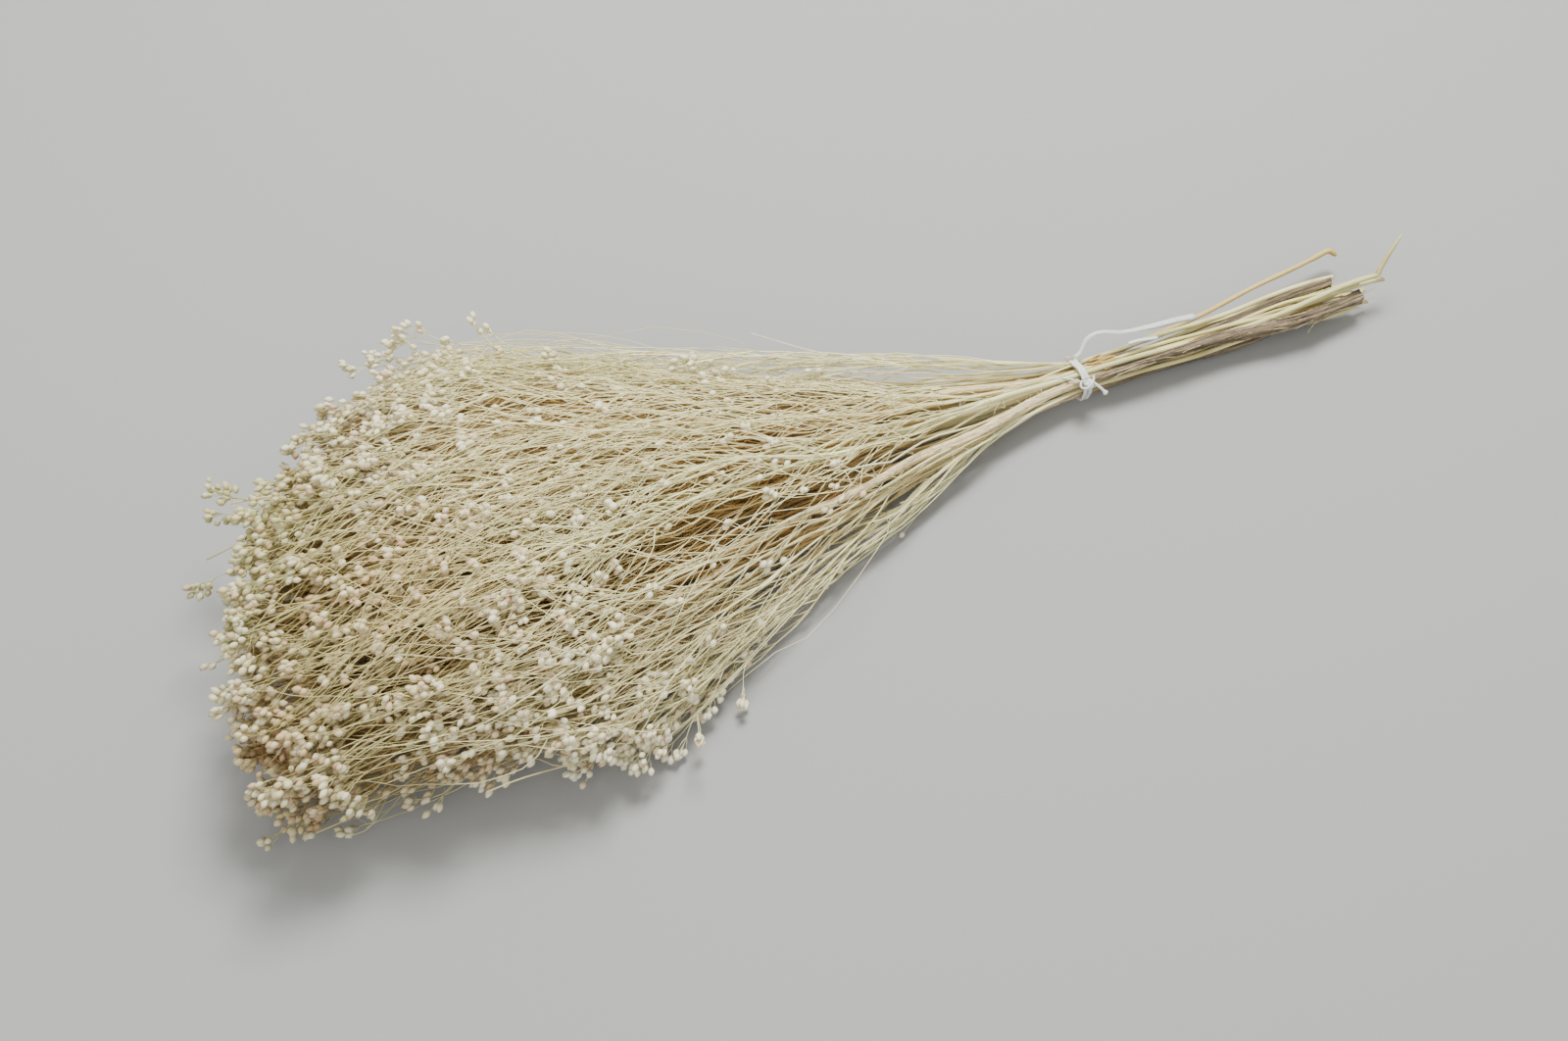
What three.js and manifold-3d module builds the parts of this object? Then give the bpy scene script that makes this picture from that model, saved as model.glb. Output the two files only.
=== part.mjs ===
// A tied bunch of dried, bleached broom bloom lying on its side: wiry stems gathered in a string tie,
// fanning out into a flattened, mounded head of fine twigs, each twig ending in a small seed capsule.
// Millimetres, +Z up. The cut ends point to +X and the head to -X; the bunch rests on the plane z = 0.
import * as THREE from "three";
import { mergeVertices } from "three/addons/utils/BufferGeometryUtils.js";
import Module from "manifold-3d";

const wasm = await Module();
wasm.setup();
const { Manifold } = wasm;

// Driving sizes of the bunch. Distances along it are measured from the tie, headwards positive.
const STEM_COUNT = 20;
const SEED = 7;
const CUT_END = 148; // tie to the average cut end
const CUT_END_SPREAD = 14;
const SPREAD = 0.55; // how fast the fan's half width grows with distance from the tie
const SPREAD_START = 90; // and how gently that begins
const FAN_KNEE = 265; // where the fan stops widening at full rate
const SPREAD_PAST_KNEE = 0.1;
const MOUND_HEIGHT = 84; // top of the head above the surface it lies on
const MOUND_FROM_TIE = 300; // where the head reaches that height
const TIE_CLEARANCE = 4; // height of the bundle's underside above the surface at the tie
const HANDLE_FLARE = 0.3; // the bundle is this much wider at the cut ends than at the tie
const HANDLE_TWIST = 0.3; // radians that the stems turn round each other between the tie and the cut ends

// How far the tips reach along the bunch, for a spray at lateral place -1 (near edge) to +1 (far edge).
const TIP_REACH = [
  [-1, 268], [-0.85, 326], [-0.7, 384], [-0.45, 400], [0, 392], [0.35, 380], [0.6, 362], [0.8, 314], [1, 278],
];

// Stems. The woody ones are older wood with the bark on. One stem strays sideways at its cut end and
// one is kinked to a point there.
const STEM_RADIUS = 1.15;
const WOODY_RADIUS = 2.3;
const WOODY = [3, 7, 14];
const STEM_GAP = 0.4; // clear space between neighbouring stems in the tie
const STEM_SIDES = 5;
const STRAY_OFFSET = 17;
const KINK_LENGTH = 30;

// Branches, and the twigs that end in a seed capsule.
const BRANCHES = 4;
const BRANCH_START = [0.3, 0.74]; // of the stem's reach, for its first branch and its last
const BRANCH_LENGTH = [0.2, 0.34]; // of the stem's reach
const FORKS = 3; // places along a branch where twigs leave it
const BRANCH_RADIUS = 0.62;
const TWIG_RADIUS = 0.45;
const TWIG_LENGTH = [24, 8]; // at the first try for a place and at the last
const TWIG_LEAN = [0.28, 0.75]; // radians from the branch
const TWIG_ROOT = 3.2; // length of a twig that may touch its own branch
const FORK_LENGTH = 2.4;
const CAPSULE_RADIUS = 1.85;
const CAPSULE_LENGTH = 4.2;
const BELLY = 0.48 * CAPSULE_LENGTH; // from a capsule's tip to its widest place
const CELL_MARGIN = 2.1; // capsule radius and air between a capsule and the next spray's ground
const CLEARANCE = 0.25; // least air between two twigs of one spray
const FLAT_SPOT = 0.3; // depth to which the lowest stems and capsules are pressed flat
const RESTING = 11; // a twig whose tip comes lower than this reaches down until its capsule rests
const RESTING_DROP = 8; // unless it would have to bend down further than this
const RESTING_BELLY = 0.75; // height of the middle of a resting capsule
const TRIES = 24; // positions tried for a branch or a twig before it is left out
const DRAWS = 400; // random places in the disc from which a branch's tip gets the emptiest
const RIM = 0.96; // how far out in the disc a branch's tip may lie

// The string tie: two turns side by side, a knot with a short tail, and a long loose tail.
const STRING_RADIUS = 0.8;
const TURN_SPACING = 2;
const WRAP_GAP = 0.55; // from the stems' outermost points to the string, to clear their flats too
const WRAP_STEPS = 18;
const WRAP_SLANT = -0.09;
const KNOT_ANGLE = 2.45; // radians round the bundle from its far side, over its top
const KNOT_RADIUS = 2.3;
const SHORT_TAIL = [[1.6, 0.6, 0.6], [4.4, -3.4, -0.6], [6.6, -6.2, -3]]; // from the knot's centre
const LONG_TAIL_ANGLE = 0.75; // where round the bundle it lies across the turns
const LONG_TAIL_GAP = 0.3;
const LONG_TAIL = [[9, 12.5, 22.6], [16, 13, 23.8], [26, 9.5, 23.4], [39, 8, 23], [52, 7.5, 22.4], [63, 6.5, 21.8]];

const { PI, sqrt, min, max, cos, sin, hypot } = Math;
const GOLDEN_ANGLE = PI * (3 - sqrt(5));
const lerp = THREE.MathUtils.lerp;
const smooth = THREE.MathUtils.smoothstep;
const at = (x, y, z) => new THREE.Vector3(x, y, z);

// A seeded random number from 0 to 1, the same on every run.
function seeded(seed) {
  let state = seed >>> 0;
  return () => {
    state = (state + 0x6d2b79f5) >>> 0;
    let t = state;
    t = Math.imul(t ^ (t >>> 15), t | 1);
    t ^= t + Math.imul(t ^ (t >>> 7), t | 61);
    return ((t ^ (t >>> 14)) >>> 0) / 4294967296;
  };
}

// The value at x of a line through control points.
function through(points, x) {
  const i = points.findIndex(([px]) => px >= x);
  if (i <= 0) return points[i < 0 ? points.length - 1 : 0][1];
  const [x0, y0] = points[i - 1];
  const [x1, y1] = points[i];
  return lerp(y0, y1, (x - x0) / (x1 - x0));
}

// A surface under construction grows ring by ring. Each ring is a list of vertex numbers that runs
// counterclockwise about the direction of growth.
const newSurface = () => ({ positions: [], index: [] });

function addPoint(surface, p) {
  surface.positions.push(p.x, p.y, p.z);
  return surface.positions.length / 3 - 1;
}

const pointOf = (surface, i) => at(...surface.positions.slice(i * 3, i * 3 + 3));

// Adds a ring of the given profile round p, square to `along`. `across` is the profile's first axis.
function addProfile(surface, p, along, profile, across) {
  const first = across ?? at(0, 0, 1).cross(along).normalize();
  const second = along.clone().cross(first).normalize();
  return profile.map(([a, b]) => addPoint(surface, p.clone().addScaledVector(first, a).addScaledVector(second, b)));
}

function addRing(surface, p, along, radius, sides, { roll = PI / sides, across } = {}) {
  const turns = Array.from({ length: sides }, (_, k) => roll + (2 * PI * k) / sides);
  return addProfile(surface, p, along, turns.map((a) => [radius * cos(a), radius * sin(a)]), across);
}

// Joins two rings by a band of faces, but for the sides in `open`.
function addBand(surface, from, to, open = []) {
  const n = from.length;
  for (let k = 0; k < n; k++) {
    if (open.includes(k)) continue;
    const m = (k + 1) % n;
    surface.index.push(from[k], from[m], to[m], from[k], to[m], to[k]);
  }
}

// Closes the end of a ring in a point, or flat.
function closeInPoint(surface, ring, tip) {
  const end = addPoint(surface, tip);
  ring.forEach((v, k) => surface.index.push(v, ring[(k + 1) % ring.length], end));
}

function closeFlat(surface, ring) {
  for (let k = 1; k < ring.length - 1; k++) surface.index.push(ring[0], ring[k], ring[k + 1]);
}

// Ends a branch or a twig in a capsule, from its last ring to the capsule's tip.
function growCapsule(surface, ring, along, tip, turned = {}) {
  const neck = addRing(surface, tip.clone().addScaledVector(along, -CAPSULE_LENGTH), along, TWIG_RADIUS, 4, turned);
  const wide = addRing(surface, tip.clone().addScaledVector(along, -BELLY), along, CAPSULE_RADIUS, 4, turned);
  addBand(surface, ring, neck);
  addBand(surface, neck, wide);
  closeInPoint(surface, wide, tip);
}

const middleOf = (points) => points.reduce((sum, p) => sum.add(p), at(0, 0, 0)).divideScalar(points.length);

// Grows a twig with its capsule from an opening of four vertices to the capsule's tip.
function growTwig(surface, opening, tip) {
  const corners = opening.map((i) => pointOf(surface, i));
  const root = middleOf(corners);
  const along = tip.clone().sub(root).normalize();
  const across = corners[0].clone().sub(root).projectOnPlane(along).normalize();
  growCapsule(surface, opening, along, tip, { roll: 0, across });
}

const geometryOf = (positions, index) => {
  const geometry = new THREE.BufferGeometry();
  geometry.setAttribute("position", new THREE.Float32BufferAttribute(positions, 3));
  geometry.setIndex(index);
  return geometry;
};

// A closed geometry as a solid that can be joined and cut.
function solid(geometry) {
  const bare = geometry.clone();
  bare.deleteAttribute("normal");
  bare.deleteAttribute("uv");
  const merged = mergeVertices(bare, 1e-4);
  return new Manifold(
    new wasm.Mesh({
      numProp: 3,
      vertProperties: new Float32Array(merged.attributes.position.array),
      triVerts: new Uint32Array(merged.index.array),
    }),
  );
}

const solidOf = (surface) => solid(geometryOf(surface.positions, surface.index));

// The joined solids' largest body, cut flat where it meets the surface it lies on, as a geometry.
function fused(solids) {
  const below = solid(new THREE.BoxGeometry(2000, 2000, 100).translate(0, 0, -50));
  const whole = Manifold.union(solids).subtract(below).simplify(0.06);
  const body = whole.decompose().reduce((a, b) => (a.volume() > b.volume() ? a : b));
  const { vertProperties, triVerts, numProp } = body.getMesh();
  const positions = [];
  for (let i = 0; i < vertProperties.length; i += numProp) positions.push(...vertProperties.slice(i, i + 3));
  return geometryOf(positions, Array.from(triVerts));
}

// Places the stems' axes in the tie, round the bundle's centre: laid out as a sunflower's seeds, drawn
// together, and pushed apart until none is nearer its neighbour than the gap between them.
function packStems() {
  const random = seeded(SEED);
  const stems = Array.from({ length: STEM_COUNT }, (_, i) => {
    const woody = WOODY.includes(i);
    const far = 2 * WOODY_RADIUS * sqrt(i + 0.5);
    const turn = i * GOLDEN_ANGLE;
    const radius = woody ? WOODY_RADIUS * lerp(0.86, 1.06, random()) : STEM_RADIUS * lerp(0.88, 1.08, random());
    return { y: far * cos(turn), z: far * sin(turn), woody, radius };
  });
  const passes = 700;
  for (let pass = 0; pass < passes; pass++) {
    const pull = pass < passes - 150 ? 0.985 : 1;
    stems.forEach((stem) => {
      stem.y *= pull;
      stem.z *= pull;
    });
    stems.forEach((a, i) => {
      stems.slice(i + 1).forEach((b) => {
        const dy = b.y - a.y;
        const dz = b.z - a.z;
        const apart = hypot(dy, dz);
        const least = a.radius + b.radius + STEM_GAP;
        if (apart >= least) return;
        const push = (least - apart) / 2 / apart;
        a.y -= dy * push;
        a.z -= dz * push;
        b.y += dy * push;
        b.z += dz * push;
      });
    });
  }
  return stems;
}

const STEMS = packStems();
const BUNDLE_RADIUS = 1.03 * max(...STEMS.map((s) => hypot(s.y, s.z)));

// Each stem keeps its place (u, v) in the unit disc all along the bunch.
STEMS.forEach((stem, i) => {
  const random = seeded(SEED * 1000 + i);
  stem.u = stem.y / BUNDLE_RADIUS;
  stem.v = stem.z / BUNDLE_RADIUS;
  stem.reach = through(TIP_REACH, stem.u) + lerp(-9, 5, random());
  stem.cut = CUT_END + lerp(-1, 1, random()) * CUT_END_SPREAD;
});
const byPlace = (score) => STEMS.filter((s) => !s.woody).reduce((a, b) => (score(a) > score(b) ? a : b));
const STRAY = byPlace((s) => s.u - 0.3 * s.v);
const KINKED = byPlace((s) => s.v + 0.2 * s.u);

function halfWidth(s) {
  const fan = min(s, FAN_KNEE);
  const pastKnee = max(s - FAN_KNEE, 0);
  return BUNDLE_RADIUS + (SPREAD * fan * fan) / (fan + SPREAD_START) + SPREAD_PAST_KNEE * pastKnee;
}
const bottom = (s) => lerp(TIE_CLEARANCE, 2.2, smooth(s, 0, 120));
const top = (s) =>
  lerp(TIE_CLEARANCE + 2 * BUNDLE_RADIUS, MOUND_HEIGHT, smooth(s, 0, MOUND_FROM_TIE)) - 0.16 * max(s - 330, 0);

// The height of the bundle's axis at the cut ends, at which its lowest stems rest on the surface.
const END_RADIUS = BUNDLE_RADIUS * (1 + HANDLE_FLARE);
const END_AXIS =
  max(...STEMS.map((s) => s.radius - END_RADIUS * (s.u * sin(HANDLE_TWIST) + s.v * cos(HANDLE_TWIST)))) - 2 * FLAT_SPOT;

// Where the point (u, v) of the unit disc lies at distance s from the tie. The disc is the bundle's
// section at the tie. Towards the head it widens into a mound with a flat underside, and towards the
// cut ends it turns and flares a little. No two places of the disc ever meet, so stems never cross.
function place(u, v, s) {
  if (s < 0) {
    const share = -s / CUT_END;
    const turn = HANDLE_TWIST * share;
    const flare = BUNDLE_RADIUS * (1 + HANDLE_FLARE * share);
    const axis = lerp(TIE_CLEARANCE + BUNDLE_RADIUS, END_AXIS, min(share, 1));
    return at(-s, flare * (u * cos(turn) - v * sin(turn)), axis + flare * (u * sin(turn) + v * cos(turn)));
  }
  const edge = max(1 - u * u, 0.02);
  const disc = (v + 1) / 2;
  const mound = ((v / sqrt(edge) + 1) / 2) * edge ** 0.6;
  const height = lerp(disc, mound, smooth(s, 0, 140));
  return at(-s, u * halfWidth(s), lerp(bottom(s), top(s), height));
}

// Whether p lies inside the head and on the stem's own ground, which ends a margin short of half way
// to each other stem.
function onOwnGround(stem, p) {
  const s = -p.x;
  const u = p.y / halfWidth(s);
  const roof = lerp(bottom(s), top(s), max(1 - u * u, 0) ** 0.6);
  if (s < 0 || u * u > 1 || p.z > roof || p.z < CAPSULE_RADIUS - FLAT_SPOT) return false;
  const own = place(stem.u, stem.v, s);
  const wide = halfWidth(s);
  const high = (top(s) - bottom(s)) / 2;
  return STEMS.every((other) => {
    if (other === stem) return true;
    const q = place(other.u, other.v, s).sub(own);
    const [dy, dz] = [q.y / wide, q.z / high];
    const [ny, nz] = [dy / wide, dz / high];
    return (p.y - own.y) * ny + (p.z - own.z) * nz <= (dy * dy + dz * dz) / 2 - CELL_MARGIN * hypot(ny, nz);
  });
}

// Balls along a path, to keep later branches and twigs clear of it.
function ballsAlong(path, radius) {
  return path.slice(1).flatMap((b, i) => {
    const a = path[i];
    const steps = Math.ceil(a.distanceTo(b) / 1.2);
    return Array.from({ length: steps }, (_, k) => ({ p: a.clone().lerp(b, (k + 1) / steps), r: radius }));
  });
}

function twigBalls(root, tip) {
  const along = tip.clone().sub(root).normalize();
  const belly = tip.clone().addScaledVector(along, -BELLY);
  return [...ballsAlong([root, tip], TWIG_RADIUS), { p: belly, r: CAPSULE_RADIUS }];
}

const isClear = (balls, taken) =>
  balls.every((a) => taken.every((b) => a.p.distanceTo(b.p) > a.r + b.r + CLEARANCE));

// A stem from its cut end, through the tie, to the capsule at its tip.
function stemPath(stem) {
  const end = stem.reach - CAPSULE_LENGTH;
  const stations = [-stem.cut, -0.5 * stem.cut, -6, 6, 30, 70, 120, 0.5 * end, 0.66 * end, 0.82 * end, end];
  return stations.map((s) => {
    const p = place(stem.u, stem.v, s);
    const loose = max(-s - 20, 0) / (CUT_END - 20);
    if (stem === STRAY) p.y += STRAY_OFFSET * loose ** 1.3;
    return p;
  });
}

const stemRadius = (stem, s) =>
  lerp(stem.radius, TWIG_RADIUS, smooth(s, 0.1 * stem.reach, (stem.woody ? 0.8 : 0.95) * stem.reach));

function stemSolid(stem, path) {
  const surface = newSurface();
  const points = [...path];
  if (stem === KINKED) points.unshift(points[0].clone().add(at(0.72, 0.42, 0.55).multiplyScalar(KINK_LENGTH)));
  const rings = points.map((p, i) => {
    const along = points[min(i + 1, points.length - 1)].clone().sub(points[max(i - 1, 0)]).normalize();
    const thin = stem === KINKED && i === 0 ? 0.3 : 1;
    return addRing(surface, p, along, stemRadius(stem, -p.x) * thin, STEM_SIDES);
  });
  rings.slice(1).forEach((ring, i) => addBand(surface, rings[i], ring));
  closeFlat(surface, [...rings[0]].reverse());
  const end = path[path.length - 1];
  const along = end.clone().sub(path[path.length - 2]).normalize();
  const belly = end.clone().addScaledVector(along, CAPSULE_LENGTH - BELLY);
  const wide = addRing(surface, belly, along, CAPSULE_RADIUS, STEM_SIDES);
  addBand(surface, rings[rings.length - 1], wide);
  closeInPoint(surface, wide, end.clone().addScaledVector(along, CAPSULE_LENGTH));
  return solidOf(surface);
}

// The path of a branch that leaves the stem at `start` and ends at the given place of the disc.
function branchPath(stem, start, { u, v, s }) {
  const shares = [0, 0.12];
  for (let f = 0; f < FORKS; f++) shares.push(lerp(0.35, 0.9, (f + 0.5) / FORKS));
  shares.push(1);
  return shares.map((t) => {
    const away = t ** 0.85;
    return place(lerp(stem.u, u, away), lerp(stem.v, v, away), lerp(start, s, t));
  });
}

// Where a twig may end that leaves a branch at `root` on its side `out`: on the stem's own ground and
// clear of what has grown, or nowhere.
function twigEnd(stem, root, along, out, taken, random) {
  for (let n = 0; n < TRIES; n++) {
    const length = lerp(...TWIG_LENGTH, n / TRIES) * lerp(0.85, 1.1, random());
    const lean = lerp(...TWIG_LEAN, random());
    const drift = along.clone().cross(out).multiplyScalar(lerp(-0.35, 0.35, random()));
    const heading = along.clone().multiplyScalar(cos(lean)).addScaledVector(out, sin(lean)).add(drift).normalize();
    const end = root.clone().addScaledVector(heading, length);
    if (!onOwnGround(stem, end)) continue;
    if (end.z < RESTING && root.z - end.z < RESTING_DROP) end.z = RESTING_BELLY + BELLY * heading.z;
    const balls = twigBalls(root.clone().addScaledVector(heading, TWIG_ROOT), end);
    if (!isClear(balls, taken)) continue;
    taken.push(...balls);
    return end;
  }
  return null;
}

// One branch with its capsule and twigs, as a surface from inside the stem. Twigs leave in pairs from
// opposite sides of a fork, the first pair level and the next upright.
function branchSolid(stem, path, taken, random) {
  const surface = newSurface();
  const last = path.length - 1;
  const directions = path.map((p, i) => path[min(i + 1, last)].clone().sub(path[max(i - 1, 0)]).normalize());
  const radii = path.map((_, i) => lerp(BRANCH_RADIUS, TWIG_RADIUS, max(i - 1, 0) / (last - 1)));
  const root = addRing(surface, path[0], directions[0], radii[0], 4);
  closeFlat(surface, [...root].reverse());
  let ring = addRing(surface, path[1], directions[1], radii[1], 4);
  addBand(surface, root, ring);
  for (let i = 2; i < last; i++) {
    const along = directions[i];
    const [near, far] = [-FORK_LENGTH / 2, FORK_LENGTH / 2].map((d) =>
      addRing(surface, path[i].clone().addScaledVector(along, d), along, radii[i], 4),
    );
    addBand(surface, ring, near);
    const twigs = [];
    for (const side of [i % 2, (i % 2) + 2]) {
      const next = (side + 1) % 4;
      const opening = [near[side], near[next], far[next], far[side]];
      const from = middleOf(opening.map((k) => pointOf(surface, k)));
      const out = from.clone().sub(path[i]).normalize();
      const end = twigEnd(stem, from, along, out, taken, random);
      if (end) twigs.push({ side, opening, end });
    }
    addBand(surface, near, far, twigs.map((t) => t.side));
    twigs.forEach((t) => growTwig(surface, t.opening, t.end));
    ring = far;
  }
  growCapsule(surface, ring, directions[last], path[last]);
  return solidOf(surface);
}

// Places in the disc for the tip of a branch that may reach `furthest`, the emptiest first: all are on
// the stem's own ground and short of the head's outline by the share `short`.
function placesForTip(stem, furthest, short, tips, random) {
  const places = [];
  for (let n = 0; n < DRAWS; n++) {
    const far = RIM * sqrt(random());
    const turn = 2 * PI * random();
    const [u, v] = [far * cos(turn), far * sin(turn)];
    const s = min(furthest, short * through(TIP_REACH, u));
    const p = place(u, v, s);
    if (onOwnGround(stem, p)) places.push({ u, v, s, room: min(...tips.map((tip) => tip.distanceTo(p))) });
  }
  return places.sort((a, b) => b.room - a.room).slice(0, TRIES);
}

// One spray: a stem, its branches and their twigs with capsules, in one solid. The last branch reaches
// the head's outline. `tips` gathers the tips of stems and branches, to spread them evenly.
function spray(stem, i, tips) {
  const random = seeded(SEED * 1000 + i);
  const line = stemPath(stem);
  const taken = ballsAlong(line, STEM_RADIUS);
  const solids = [stemSolid(stem, line)];
  for (let b = 0; b < BRANCHES; b++) {
    const start = stem.reach * lerp(...BRANCH_START, (b + random()) / BRANCHES);
    const length = stem.reach * lerp(...BRANCH_LENGTH, random());
    const furthest = b < BRANCHES - 1 ? start + length : Infinity;
    for (const goal of placesForTip(stem, furthest, lerp(0.9, 1, random()), tips, random)) {
      const path = branchPath(stem, start, goal);
      const tip = path[path.length - 1];
      if (!path.slice(2).every((p) => onOwnGround(stem, p))) continue;
      const balls = [...ballsAlong(path.slice(1), BRANCH_RADIUS), ...twigBalls(path[path.length - 2], tip)];
      const free = 0.3 * path[0].distanceTo(tip);
      if (!isClear(balls.filter((ball) => ball.p.distanceTo(path[0]) > free), taken)) continue;
      taken.push(...balls);
      tips.push(tip);
      solids.push(branchSolid(stem, path, taken, random));
      break;
    }
  }
  return fused(solids);
}

// The bundle's outline in the tie: the point at angle a round it, `out` beyond the outermost stem there.
const TIE_AXIS = TIE_CLEARANCE + BUNDLE_RADIUS;
function roundBundle(a, out) {
  const reach = max(...STEMS.map((s) => s.y * cos(a) + s.z * sin(a) + s.radius)) + out;
  return at(WRAP_SLANT * reach * cos(a), reach * cos(a), TIE_AXIS + reach * sin(a));
}

// A round string along a smooth curve through the given points.
function stringAlong(points, sides, steps) {
  const section = new THREE.Shape();
  for (let k = 0; k < sides; k++) {
    const a = (2 * PI * (k + 0.5)) / sides;
    section[k ? "lineTo" : "moveTo"](STRING_RADIUS * cos(a), STRING_RADIUS * sin(a));
  }
  section.closePath();
  const extrudePath = new THREE.CatmullRomCurve3(points.map((p) => at(...p)));
  return solid(new THREE.ExtrudeGeometry(section, { steps, bevelEnabled: false, extrudePath }));
}

// The two turns of string round the bundle, as one band with a groove between them.
function turnsOfString() {
  const edge = TURN_SPACING / 2 + STRING_RADIUS;
  const low = -0.95 * STRING_RADIUS;
  const profile = [
    [-edge + 0.3, low], [edge - 0.3, low], [edge, 0], [TURN_SPACING / 2, STRING_RADIUS], [0, 0.25 * STRING_RADIUS],
    [-TURN_SPACING / 2, STRING_RADIUS], [-edge, 0],
  ];
  const surface = newSurface();
  const points = Array.from({ length: WRAP_STEPS }, (_, i) =>
    roundBundle((2 * PI * i) / WRAP_STEPS, WRAP_GAP + STRING_RADIUS),
  );
  const rings = points.map((p, i) => {
    const after = points[(i + 1) % WRAP_STEPS];
    const before = points[(i + WRAP_STEPS - 1) % WRAP_STEPS];
    const along = after.clone().sub(before).normalize();
    return addProfile(surface, p, along, profile, at(1, 0, 0).projectOnPlane(along).normalize());
  });
  rings.forEach((ring, i) => addBand(surface, ring, rings[(i + 1) % WRAP_STEPS]));
  return solidOf(surface);
}

function wrap() {
  const knot = roundBundle(KNOT_ANGLE, WRAP_GAP + KNOT_RADIUS * 0.75);
  const lump = new THREE.SphereGeometry(KNOT_RADIUS, 8, 6).scale(1.1, 0.85, 0.75).rotateX(KNOT_ANGLE - PI / 2);
  const tail = SHORT_TAIL.map(([x, y, z]) => [knot.x + x, knot.y + y, knot.z + z]);
  const bulb = new THREE.SphereGeometry(1.5 * STRING_RADIUS, 7, 5).translate(...tail[2]);
  return fused([
    turnsOfString(),
    solid(lump.translate(...knot.toArray())),
    stringAlong([knot.toArray(), ...tail], 6, 4),
    solid(bulb),
  ]);
}

// The long tail lies across the turns, then rises over the stems.
function longTail() {
  const onTurns = roundBundle(LONG_TAIL_ANGLE, WRAP_GAP + 3 * STRING_RADIUS + LONG_TAIL_GAP);
  const [across, start] = [3.5, -3.5].map((x) => [x, onTurns.y, onTurns.z]);
  return fused([stringAlong([start, across, ...LONG_TAIL], 8, 20)]);
}

const dryStem = new THREE.MeshStandardMaterial({ color: 0xd9cda6, roughness: 0.8, metalness: 0 });
const bark = new THREE.MeshStandardMaterial({ color: 0x8d7a66, roughness: 0.95, metalness: 0 });
const string = new THREE.MeshStandardMaterial({ color: 0xf2f2ec, roughness: 0.45, metalness: 0 });

const bunch = new THREE.Group();
const tips = STEMS.map((stem) => place(stem.u, stem.v, stem.reach));
STEMS.forEach((stem, i) => {
  const number = String(i + 1).padStart(2, "0");
  const mesh = new THREE.Mesh(spray(stem, i, tips), stem.woody ? bark : dryStem);
  mesh.name = (stem.woody ? "woody_spray_" : "spray_") + number;
  bunch.add(mesh);
});
const tieWrap = new THREE.Mesh(wrap(), string);
tieWrap.name = "tie_wrap";
const tieTail = new THREE.Mesh(longTail(), string);
tieTail.name = "tie_tail";
bunch.add(tieWrap, tieTail);

// The frame's origin is under the middle of the bunch.
const extent = new THREE.Box3().setFromObject(bunch);
const centre = extent.getCenter(at(0, 0, 0));
bunch.position.set(-centre.x, -centre.y, -extent.min.z);

export default bunch;
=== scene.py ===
"""The looks of a tied bunch of dried broom bloom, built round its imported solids.

Every strand follows the same rule as the solids: it keeps its place (u, v) in the bundle's unit disc
while the disc widens from the tie into the mounded head. Lengths are millimetres from the tie until a
mesh is made, which is in metres in the row's frame.
"""

import cmath
import itertools
import math

import bpy
import numpy as np
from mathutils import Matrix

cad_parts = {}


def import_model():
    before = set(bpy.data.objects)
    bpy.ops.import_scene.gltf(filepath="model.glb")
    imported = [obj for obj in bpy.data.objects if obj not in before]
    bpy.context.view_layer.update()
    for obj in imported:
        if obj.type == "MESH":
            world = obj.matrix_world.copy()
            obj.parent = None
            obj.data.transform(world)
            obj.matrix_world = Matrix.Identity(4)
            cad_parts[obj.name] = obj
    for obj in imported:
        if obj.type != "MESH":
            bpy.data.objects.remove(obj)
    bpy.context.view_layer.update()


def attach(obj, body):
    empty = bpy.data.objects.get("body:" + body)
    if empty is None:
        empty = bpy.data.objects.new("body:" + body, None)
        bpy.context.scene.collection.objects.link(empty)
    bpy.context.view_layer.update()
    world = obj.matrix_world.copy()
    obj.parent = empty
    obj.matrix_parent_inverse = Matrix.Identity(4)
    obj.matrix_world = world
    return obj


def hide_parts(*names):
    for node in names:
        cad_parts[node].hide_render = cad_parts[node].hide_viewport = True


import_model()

# The same driving sizes as the solids.
ORIGIN = np.array([110.233, -0.8009, 0.0])  # the tie's place in the row's frame
STEM_COUNT = 20
SEED = 7
CUT_END = 148
CUT_END_SPREAD = 14
SPREAD = 0.55
SPREAD_START = 90
FAN_KNEE = 265
SPREAD_PAST_KNEE = 0.1
MOUND_HEIGHT = 84
MOUND_FROM_TIE = 300
TIE_CLEARANCE = 4
HANDLE_FLARE = 0.3
HANDLE_TWIST = 0.3
TIP_REACH = [
    (-1, 268), (-0.85, 326), (-0.7, 384), (-0.45, 400), (0, 392),
    (0.35, 380), (0.6, 362), (0.8, 314), (1, 278),
]
STEM_RADIUS = 1.15
WOODY_RADIUS = 2.3
WOODY = (3, 7, 14)
STEM_GAP = 0.4
PACK_PASSES = 700
LOOSE_PASSES = 150
PULL = 0.985
STRAY_OFFSET = 17
KINK_LENGTH = 30
FLAT_SPOT = 0.3
STRING_RADIUS = 0.8
TURN_SPACING = 2
WRAP_GAP = 0.55
WRAP_SLANT = -0.09
KNOT_ANGLE = 2.45
KNOT_RADIUS = 2.3
SHORT_TAIL = [(1.6, 0.6, 0.6), (4.4, -3.4, -0.6), (6.6, -6.2, -3)]
LONG_TAIL_ANGLE = 0.75
LONG_TAIL_GAP = 0.3
LONG_TAIL = [
    (9, 12.5, 22.6), (16, 13, 23.8), (26, 9.5, 23.4), (39, 8, 23), (52, 7.5, 22.4), (63, 6.5, 21.8),
]
UNDERSIDE = 2.2
UNDERSIDE_FROM_TIE = 120
DROOP = 0.16
DROOP_FROM_TIE = 330
MM = 0.001

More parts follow.
